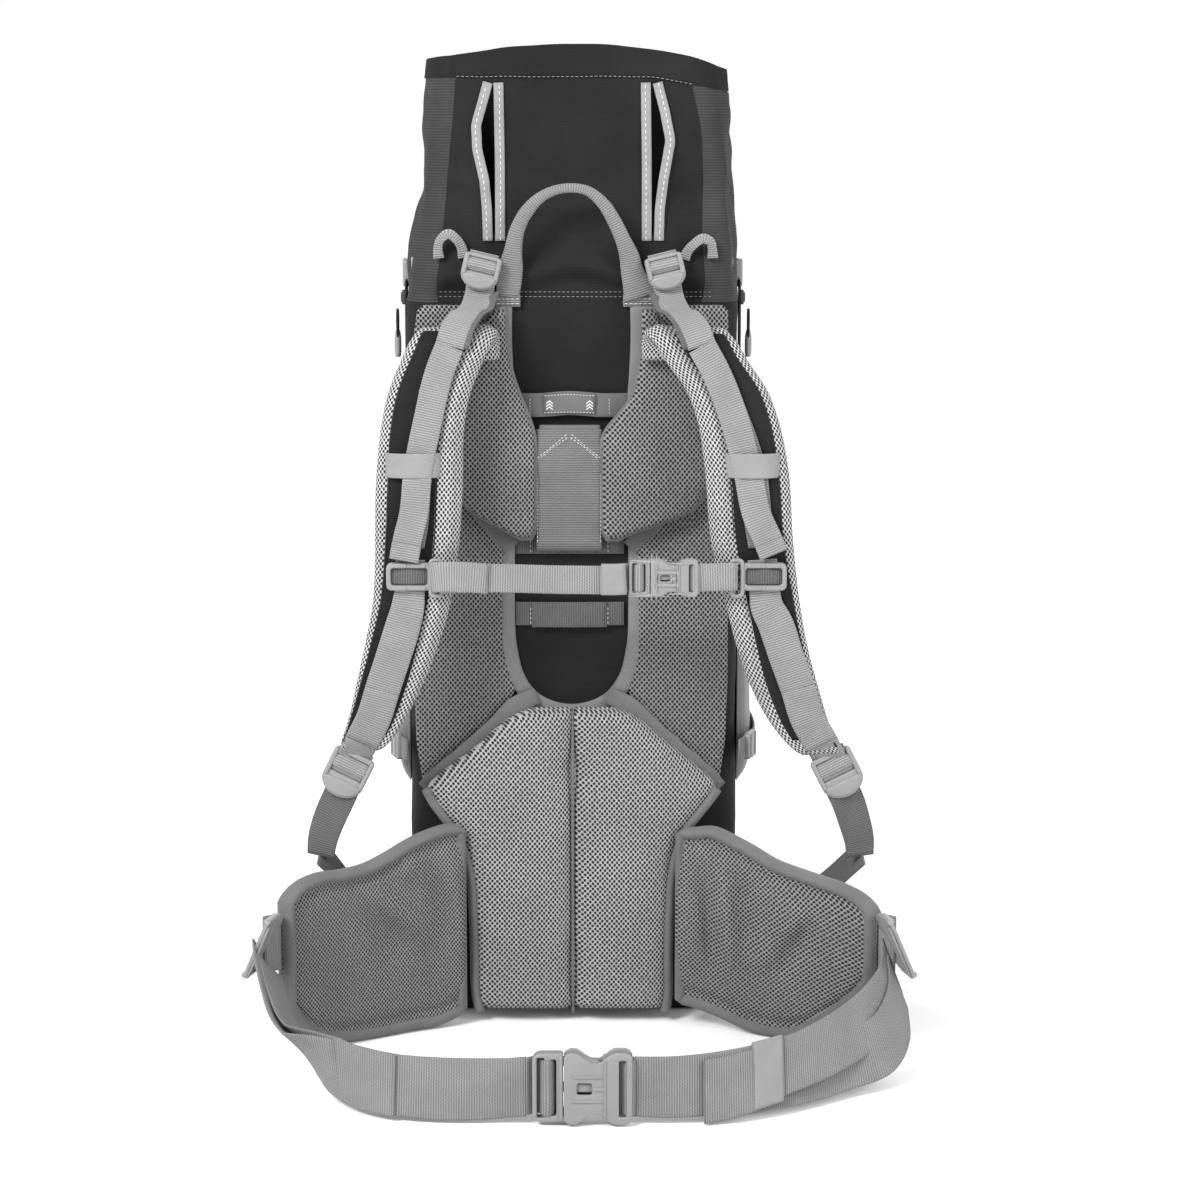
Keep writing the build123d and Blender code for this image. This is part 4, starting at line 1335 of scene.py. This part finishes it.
# diagonal seam tapes and the bound edges of the lumbar pad
seams = {"left": [[(-32, 9, 294, 15), (-49, 12, 286, 17), (-70, 14, 268, 13), (-98, 15, 243, 13),
                   (-124, 13, 221, 12), (-134, 9, 211, 9)], [(-53, 8, 426), (-75, 8.4, 450), (-100, 8, 480)]],
         "right": [[(31, 9, 294, 15), (48, 12, 286, 17), (70, 14, 268, 13), (98, 15, 243, 13),
                    (122, 13, 222, 12), (132, 9, 212, 9)], [(50, 8, 426), (74, 8.4, 452), (104, 8, 490),
                                                            (120, 7, 512)]]}
for tag, s in SIDES:
    for k, line in enumerate(seams[tag]):
        done(tape(f"back_seam_{tag}_{k}", line, 9 if k == 0 else 15, M_TAPE, across=in_plane, thick=2.0,
                  crown=0.5), "pack")
    rows = LUMBAR_ROWS[tag]
    outer_x = 1 if s == LEFT else 2
    edge = [(r[outer_x] + s * 0.5, 20 if r[0] > 240 else 25, r[0]) for r in rows[6:]]
    line = world(route(edge, 120))
    done(piping(f"lumbar_binding_{tag}", line, 4.6, M_TAPE, flat=1.5), "pack")

# ------------------------------------------------------------------ grab handle and loops
arch_path = [(-56, 5.5, 646, 20), (-54.5, 7, 660, 22), (-53, 9, 672, 21), (-51, 12, 684, 16),
             (-47.5, 17, 702, 13), (-38, 22, 720, 11.5), (-24, 26, 733, 9), (-5, 28, 739, 8),
             (13.5, 26, 736.5, 8.5), (26.5, 24, 726, 10.5), (36, 21, 711, 12), (44, 17, 694, 13.5),
             (49, 12, 681, 17), (52, 9, 667, 20), (56, 7, 655, 25), (59, 5.5, 645, 29)]
handle = tape("grab_handle_webbing", arch_path, 16, M_WEB_HIP, across=in_plane, thick=4.2, step=3, crown=1.6)
done(handle, "handle", ("grab_handle",))
for tag, s in SIDES:
    root_x = -60 if s == LEFT else 59
    root = tape(f"handle_root_{tag}", [(root_x, 3.5, 637), (root_x, 5, 642), (root_x, 6, 647)], 30, M_WEB_HIP,
                thick=3.0)
    done(root, "pack")
    done(stitches(f"handle_root_stitches_{tag}",
                  [[at(root_x - 14, 7.2, zz), at(root_x + 14, 7.2, zz)] for zz in (639.5, 643.5)], M_THREAD,
                  radius=0.3), "pack")
    arch = [(-115.5, 3, 678.5, 9.5), (-116, 5, 686, 8), (-114, 8, 694, 7.5), (-106.5, 10, 699.5, 8.5),
            (-99.5, 8, 694.5, 8), (-95.5, 5, 687.5, 8.5), (-94, 3, 678.5, 9.5)]
    if s == RIGHT:
        arch = [(97, 3, 677.5, 9.5), (99.5, 5, 684, 8.5), (105, 8, 690.5, 8), (113, 10, 695.5, 8.5),
                (119, 8, 693, 8), (121, 5, 686.5, 8), (121.5, 3, 678.5, 9.5)]
    loop = tape(f"gear_loop_{tag}", arch, 8.5, M_WEB, across=in_plane, thick=2.0, step=1.5)
    done(loop, "pack", ("gear_loops",) if s == LEFT else ())

# ------------------------------------------------------------------ hip belt
WING = {"left": [(-95, 31, 97, 160), (-108, 37, 95, 170), (-125, 44, 91, 172), (-142, 52, 88, 166),
                 (-160, 62, 83, 158), (-180, 74, 79, 150), (-200, 88, 79, 146), (-220, 105, 83, 140),
                 (-236, 120, 89, 118), (-247, 135, 96, 84)],
        "right": [(91, 31, 99, 152), (108, 38, 99, 156), (122, 42, 98, 162), (138, 49, 93, 162),
                  (156, 57, 86, 160), (176, 68, 80, 152), (196, 80, 79, 144), (216, 93, 84, 126),
                  (236, 109, 92, 102), (252, 126, 99, 74), (260, 137, 102, 50)]}
CREASES = {"left": [((-172, 136), (-126, 78), 7, 9.0), ((-188, 124), (-146, 64), 9, -8.0),
                    ((-110, 170), (-92, 40), 8, 7.0), ((-124, 158), (-108, 66), 8, -7.0),
                    ((-152, 150), (-134, 152), 14, 4.0)],
           "right": [((129, 150), (142, 40), 8, 8.0), ((114, 150), (124, 50), 7, -7.0),
                     ((144, 150), (157, 72), 7, -7.0), ((196, 132), (182, 90), 12, 7.5),
                     ((180, 86), (152, 62), 10, 5.5), ((212, 112), (178, 60), 9, -7.0)]}
HIP = {"left": [(-263, 149, 95), (-257, 166, 90), (-250, 186, 75), (-237, 212, 51), (-209, 237, 34),
                (-175, 257, 28), (-141, 273, 26), (-100, 285, 26.5), (-60, 291, 29), (-35, 293, 31.5)],
       "right": [(272, 149, 88), (270, 162, 73), (252, 190, 58), (222, 222, 47), (183, 252, 38),
                 (150, 270, 33), (110, 284, 30), (80, 291, 30), (50, 293, 31.5)], }
LEAN_LEFT = [(-265, -0.2, -0.4, 0.9), (-257, -0.33, -0.75, 0.58), (-228, -0.36, -0.7, 0.62),
             (-205, -0.2, -0.1, 0.95), (-185, -0.05, 0.25, 0.95), (-141, 0.0, 0.5, 0.86),
             (-100, 0.0, 0.3, 0.95), (-50, 0.0, 0.0, 1.0)]
LEAN_RIGHT = [(43, 0.0, 0.0, 1.0), (110, 0.0, 0.25, 0.97), (150, 0.0, 0.5, 0.87), (183, 0.0, 0.62, 0.78),
              (222, -0.1, 0.5, 0.86), (270, -0.33, 0.33, 0.88)]


def leaning(table):
    """Width direction of the belt along its run, from (x, and its x, y and z parts) rows."""
    rows = np.array(table)

    def across(path):
        x = path[:, 0] * 1000
        return unit(np.stack([np.interp(x, rows[:, 0], rows[:, k]) for k in (1, 2, 3)], -1))
    return across


for tag, s in SIDES:
    body = f"wing_{tag}"

    def wing_shape(a, d, total):
        return 2.0 * (1 - a * a) - 2.2 * math.exp(-((abs(a) - 0.86) / 0.045) ** 2)

    wing, info = pad(f"hip_wing_{tag}", WING[tag], 15.0, M_MESH_FINE, across=(0, 0, 1), front=3.0, rear=3.0,
                     ends=(8, 30), step=3, seg=96, shape=wing_shape)
    flat_uv(wing)
    press(wing, CREASES[tag])
    done(wing, body, (f"hip_pad_{tag}",))
    r_end = np.sqrt(np.clip(1 - (1 - np.clip((info["d"][-1] - info["d"]) / 0.030, 0, 1)) ** 2, 0, 1))
    reach = info["side"] * (info["w"] * (0.86 + 0.14 * r_end) * 0.985)[:, None]
    inner_part = slice(2, -2)                # leaves out the rounded ends of the pad
    loop_path = np.vstack([(info["path"] + reach)[inner_part], (info["path"] - reach)[inner_part][::-1]])
    bind = piping(f"hip_wing_binding_{tag}", loop_path, 5.6, M_TAPE, flat=1.55,
                  across=np.vstack([info["out"][inner_part], info["out"][inner_part][::-1]]), closed=True,
                  seg=12)
    done(bind, body)
    # belt webbing
    web = tape(f"hip_webbing_{tag}_band", HIP[tag], 50, M_WEB_HIP,
               across=leaning(LEAN_LEFT if s == LEFT else LEAN_RIGHT), thick=2.2, wave=1.6, seed=s * 2.0,
               fixed=True)
    if s == LEFT:
        blended(web,
                ("hip_webbing_left",))
    else:
        done(web, body, ("hip_webbing_right",))
    # adjuster at the wing tip with the webbing folded through it
    c = at(-262 if s == LEFT else 275, 157, 108)
    run = unit(np.array([0.28 * s, -0.96, -0.02]))
    lean = unit(np.array([0.42 * s, 0, -0.9]))
    face = np.cross(lean, run)
    face = face * np.sign(face[0] * s)
    adj, adj_web = ladder(f"hip_adjuster_body_{tag}", 50, c, -run, face, M_PLASTIC, 1.0, M_WEB_HIP)
    done(adj, f"hip_adjuster_{tag}", (f"hip_adjuster_{tag}",))
    done(adj_web, f"hip_adjuster_{tag}")
    tip = WING[tag][-1]
    wrap = tape(f"hip_anchor_{tag}", [(tip[0] - s * 2, tip[1] - 8, 104), (tip[0] + s * 6, 140, 106),
                                      (c[0] * 1000 - s * 1, 150, 107)], 50, M_WEB_HIP, across=(0, 0, 1),
                thick=2.2, fixed=True)
    done(wrap, body)

# second layers, folded ends and keepers on the belt
belt_left, belt_right = leaning(LEAN_LEFT), leaning(LEAN_RIGHT)
done(tape("hip_layer_left", [(-255, 156, 88), (-247, 180, 74), (-233, 206, 52), (-206, 231, 36),
                             (-186, 244, 31)], 46, M_WEB_HIP, across=belt_left, thick=2.0, fixed=True,
          wave=1.0, seed=10.0), "wing_left")
done(tape("hip_tail_left", [(-190, 251, 32.5), (-176, 260, 29), (-158, 270, 27.5), (-142, 277.5, 26.5)], 51,
          M_WEB_HIP, across=belt_left, thick=2.8, wave=2.0, seed=11.0, fixed=True), "wing_left")
done(tape("hip_layer_right", [(276, 158, 76), (276, 176, 56), (262, 200, 38), (226, 222, 29), (186, 250, 26),
                              (155, 267, 26.5), (132, 276, 27)], 50, M_WEB_HIP, across=belt_right, thick=2.2,
          wave=1.6, seed=13.0, fixed=True), "wing_right")
done(tape("hip_keeper_right", [(172, 261, 36), (160, 267.5, 34.5), (148, 273.5, 33)], 56, M_TAPE_LIGHT,
          across=belt_right, thick=6.0, fixed=True, step=2), "wing_right")
done(tape("hip_tail_right", [(150, 275, 31), (134, 282, 28), (118, 288, 26.5), (108, 291.5, 26)], 51,
          M_WEB_HIP, across=belt_right, thick=3.0, wave=2.5, seed=15.0, fixed=True), "wing_right")

# ------------------------------------------------------------------ sides: zips, straps, pockets
ZIP_Y = -0.055                              # where the side zips run, in metres

for tag, s in SIDES:
    zip_line = np.array([[s * (HALF / 1000 + 0.0012), ZIP_Y, z] for z in np.linspace(0.36, 0.655, 60)])
    done(piping(f"zip_teeth_{tag}", zip_line, 1.3, M_PLASTIC_DARK, flat=2.2, across=(0, 1, 0)), "pack")
    zip_tape = tape(f"zip_tape_{tag}",
                    [(s * (HALF + 0.6), (BACK - ZIP_Y) * 1000, z) for z in (358, 450, 550, 657)], 24,
                    M_TAPE_BLACK, across=(0, 1, 0), face=(s, 0, 0), thick=1.0)
    done(zip_tape, "pack")
    c = centre(f"zip_slider_{tag}")
    parts = [moulded("slider", [rounded(9, 13, 2.5)], 3.6, 0.9, c, (0, 1, 0), (0, 0, 1), M_PLASTIC_DARK),
             moulded("bail", [rounded(4.5, 9, 1.8), rounded(1.8, 5.5, 0.8)], 2.0, 0.6,
                     c + np.array([s * 0.002, 0, 0]), (0, 1, 0), (0, 0, 1), M_PLASTIC_DARK)]
    done(join(f"zip_slider_body_{tag}", parts), f"zip_slider_{tag}", (f"zip_slider_{tag}",))
    p = centre(f"zip_pull_{tag}")
    top = p[2] + 0.021
    loop_pts = [(p[0], p[1] + 0.0024, p[2] - 0.004)]
    for a in np.linspace(-0.15, math.pi + 0.15, 15):
        loop_pts.append((p[0], p[1] + math.cos(a) * 0.0052, top - 0.008 + math.sin(a) * 0.008))
    loop_pts.append((p[0], p[1] - 0.0024, p[2] - 0.004))
    rows = from_world(loop_pts)
    loop_mesh = piping(f"zip_pull_loop_{tag}", world(route(rows, 50)), 1.15, M_TAPE_BLACK, seg=8,
                       across=(1, 0, 0))
    sleeve_line = [(p[0], p[1], p[2] - 0.021 + q * 0.024) for q in np.linspace(0, 1, 9)]
    widths = [0.75, 0.95, 1.0, 1.0, 1.0, 1.0, 0.95, 0.8, 0.6]
    sleeve = piping(f"zip_sleeve_{tag}", sleeve_line, 3.0, M_PLASTIC, flat=1.25, across=(0, 1, 0), seg=12)
    co = np.array([v.co for v in sleeve.data.vertices]).reshape(9, 12, 3)
    mid = co.mean(1, keepdims=True)
    co = mid + (co - mid) * np.array(widths)[:, None, None]
    sleeve.data.vertices.foreach_set("co", co.ravel())
    done(join(f"zip_pull_body_{tag}", [sleeve, loop_mesh]), f"zip_pull_{tag}",
         (f"zip_pull_{tag}",))

    # upper compression strap with its triangular tab and buckle
    hi = s * (table(662, WIDE_L if s == LEFT else WIDE_R) + 2.2)
    band = tape(f"compression_strap_{tag}", [(hi - s * 3, -43, 664), (hi, -60, 663), (hi, -110, 662),
                                             (hi, -150, 662), (hi - s * 4, -183, 662)], 20, M_WEB_MID,
                across=(0, 0, 1), face=(s, 0, 0), thick=2.0)
    done(band, "pack", ("compression_straps",) if s == LEFT else ())
    tab = make(f"side_tab_{tag}", [at(hi - s * 5, -28, 678), at(hi - s * 5, -30, 648),
                                   at(hi + s * 1, -62, 664), at(hi - s * 8, -28, 678),
                                   at(hi - s * 8, -30, 648), at(hi - s * 2.5, -62, 664)],
               [(0, 1, 2), (5, 4, 3), (0, 3, 4, 1), (1, 4, 5, 2), (2, 5, 3, 0)], None, M_WEB, smooth=False)
    done(tidy(tab), "pack")
    buckle = moulded(f"side_buckle_{tag}", [rounded(26, 25, 4), rounded(4, 20, 1.5, -7, 0),
                                            rounded(4, 20, 1.5, 7, 0)], 6, 1.4, at(hi + s * 2.5, -80, 662),
                     (0, 1, 0), (0, 0, 1), M_PLASTIC)
    done(buckle, "pack")
    # stretch pocket: a bellied pouch on the side with an elastic top edge
    a, b = (np.array(q) * 1000 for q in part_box(f"side_pocket_{tag}"))
    zs = np.linspace(a[2], b[2], 34)
    ys = np.linspace(a[1], b[1], 30)
    grid, far_grid = [], []
    for z in zs:
        q = (z - a[2]) / (b[2] - a[2])
        row, far_row = [], []
        for y in ys:
            e = (y - a[1]) / (b[1] - a[1])
            belly = (1 - abs(2 * e - 1) ** 3.2) ** 0.5 * (1 - (1 - min(1, q / 0.16)) ** 2) ** 0.5
            pinch = 1 - 0.28 * max(0, (q - 0.75) / 0.25) ** 2
            out = 1.0 + (b[0] - a[0] - 2.5) * belly * pinch + 1.3 * belly * rib_noise(y, z, 0, 30 + s, 34)
            row.append((s * (HALF + out), y, z))
            far_row.append((s * (HALF + max(out - 2.4, 0.4)), y, z))
        grid.append(row)
        far_grid.append(far_row)
    grid, far_grid = np.array(grid) / 1000, np.array(far_grid) / 1000
    rings = np.concatenate([grid, far_grid[:, ::-1]], axis=1)
    uv_y = np.concatenate([np.tile(ys, (34, 1)), np.tile(ys[::-1], (34, 1))], 1) / 1000
    uv_z = np.tile(zs[:, None], (1, 60)) / 1000
    pocket = skin(f"side_pouch_{tag}", rings, np.stack([uv_y, uv_z], -1), M_KNIT)
    done(pocket, "pack", (f"side_pocket_{tag}",))
    rim = grid[-1]
    done(piping(f"pouch_rim_{tag}", rim, 2.6, M_TAPE, flat=1.0, across=(1, 0, 0)), "pack")
    band = tape(f"pouch_strap_{tag}", [(s * (HALF + 1), 4, 243), (s * (HALF + 6), -14, 242),
                                       (s * (HALF + 15), -48, 241), (s * (HALF + 18.5), -100, 240),
                                       (s * (HALF + 14), -150, 240), (s * (HALF + 2), -180, 240)], 20,
                M_WEB_MID, across=(0, 0, 1), face=(s, 0, 0), thick=2.0)
    done(band, "pack")
    buckle = moulded(f"pouch_buckle_{tag}", [rounded(24, 24, 3.5), rounded(4, 20, 1.5, -6, 0),
                                             rounded(4, 20, 1.5, 6, 0)], 6, 1.4,
                     at(s * (HALF + 12), -26, 242), (0.35 * s, 1, 0), (0, 0, 1), M_PLASTIC)
    done(buckle, "pack")

# front pocket, seen from behind
a, b = (np.array(q) * 1000 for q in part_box("front_pocket"))
zs = np.linspace(a[2], b[2], 60)
xs = np.linspace(a[0], b[0], 50)
rows, far_rows = [], []
for z in zs:
    q = (z - a[2]) / (b[2] - a[2])
    row, far_row = [], []
    for x in xs:
        e = (x - a[0]) / (b[0] - a[0])
        crown = ((1 - abs(2 * e - 1) ** 6) * (1 - abs(2 * q - 1) ** 8)) ** 0.4
        lift = 1.0 + (b[1] - a[1] + 4) * crown + 2.0 * crown * rib_noise(x, z, 0, 40, 50)
        base_y = float(np.interp(x, [-150, 0, 150], [DEEP, DEEP + 4, DEEP]))
        row.append((x, base_y + lift, z))
        far_row.append((x, base_y - 1, z))
    rows.append(row)
    far_rows.append(far_row)
rows, far_rows = np.array(rows) / 1000, np.array(far_rows) / 1000
rings = np.concatenate([rows, far_rows[:, ::-1]], axis=1)
uvx = np.concatenate([np.tile(xs, (60, 1)), np.tile(xs[::-1], (60, 1))], 1) / 1000
uvz = np.tile(zs[:, None], (1, 100)) / 1000
done(skin("front_pocket_face", rings, np.stack([uvx, uvz], -1), M_BLACK), "pack",
     ("front_pocket",))
arch = [rows[i][j] for i, j in [(8, 2), (20, 2), (32, 2), (42, 3), (48, 5), (52, 9), (55, 15), (56, 24),
                                (56, 25), (55, 34), (52, 40), (48, 44), (42, 46), (32, 47), (20, 47),
                                (8, 47)]]
zip_line = world(route(from_world(np.array(arch)), 160))
done(piping("front_pocket_zip", zip_line, 2.0, M_TAPE_BLACK, flat=1.6, across=(0, 1, 0)), "pack")

for node, mat in (("frame_sheet", M_SHEET), ("frame_stays", M_ALU)):
    frame["nodes"][node].data.materials.clear()
    frame["nodes"][node].data.materials.append(mat)


# ------------------------------------------------------------------ stage
def stage_mat():
    n = Nodes("floor_paper", (0.93, 0.93, 0.93), 0.95, spec=0.0)
    x, y = n.xyz(n.coords(False))[:2]
    away = n.math("SQRT", n.math("ADD", n.math("MULTIPLY", x, x), n.math("MULTIPLY", y, y)))
    # painted shadow: the floor colour is greyer near the bag and stands in for its contact shadow
    near = n.ramp(n.math("MULTIPLY", away, 0.5), [(0.15, (0.74, 0.74, 0.74)), (0.6, (0.97, 0.97, 0.97))])
    n.bsdf.inputs["Emission Color"].default_value = (1, 1, 1, 1)
    n.bsdf.inputs["Emission Strength"].default_value = 0.03
    fine = n.noise(n.coords(False), 60, 3)
    return n.finish(near, fine, 0.02, 0.0005)


floor = make("floor", [(-6, -6, -0.0005), (6, -6, -0.0005), (6, 8, -0.0005), (-6, 8, -0.0005)],
             [(0, 1, 2, 3)], [(0, 0), (1, 0), (1, 1), (0, 1)], stage_mat())
world_data = bpy.data.worlds.new("studio")
bpy.context.scene.world = world_data
world_data.use_nodes = True
world_data.node_tree.nodes["Background"].inputs["Color"].default_value = (1, 1, 1, 1)
world_data.node_tree.nodes["Background"].inputs["Strength"].default_value = 1.0


def area(name, pos, aim, size, power):
    light = bpy.data.lights.new(name, "AREA")
    light.size = size
    light.energy = power
    obj = bpy.data.objects.new(name, light)
    obj.location = pos
    obj.rotation_euler = (Vector(aim) - Vector(pos)).to_track_quat("-Z", "Y").to_euler()
    bpy.context.collection.objects.link(obj)


area("key", (-1.6, -2.2, 2.3), (0, -0.1, 0.4), 1.0, 125)
area("fill", (2.0, -1.9, 1.5), (0, -0.1, 0.4), 1.2, 42)
area("back", (0.4, 2.4, 2.2), (0, 0, 0.4), 1.6, 40)

camera = bpy.data.objects.new("camera", bpy.data.cameras.new("camera"))
camera.data.sensor_width = 36
camera.data.lens = 86.1
camera.location = (0.024, BACK - 2.5, 0.8)
camera.rotation_euler = (Vector((0.024, BACK, 0.378)) - camera.location).to_track_quat("-Z", "Y").to_euler()
bpy.context.collection.objects.link(camera)
bpy.context.scene.camera = camera
bpy.context.scene.view_settings.view_transform = "Standard"
bpy.context.scene.view_settings.look = "None"
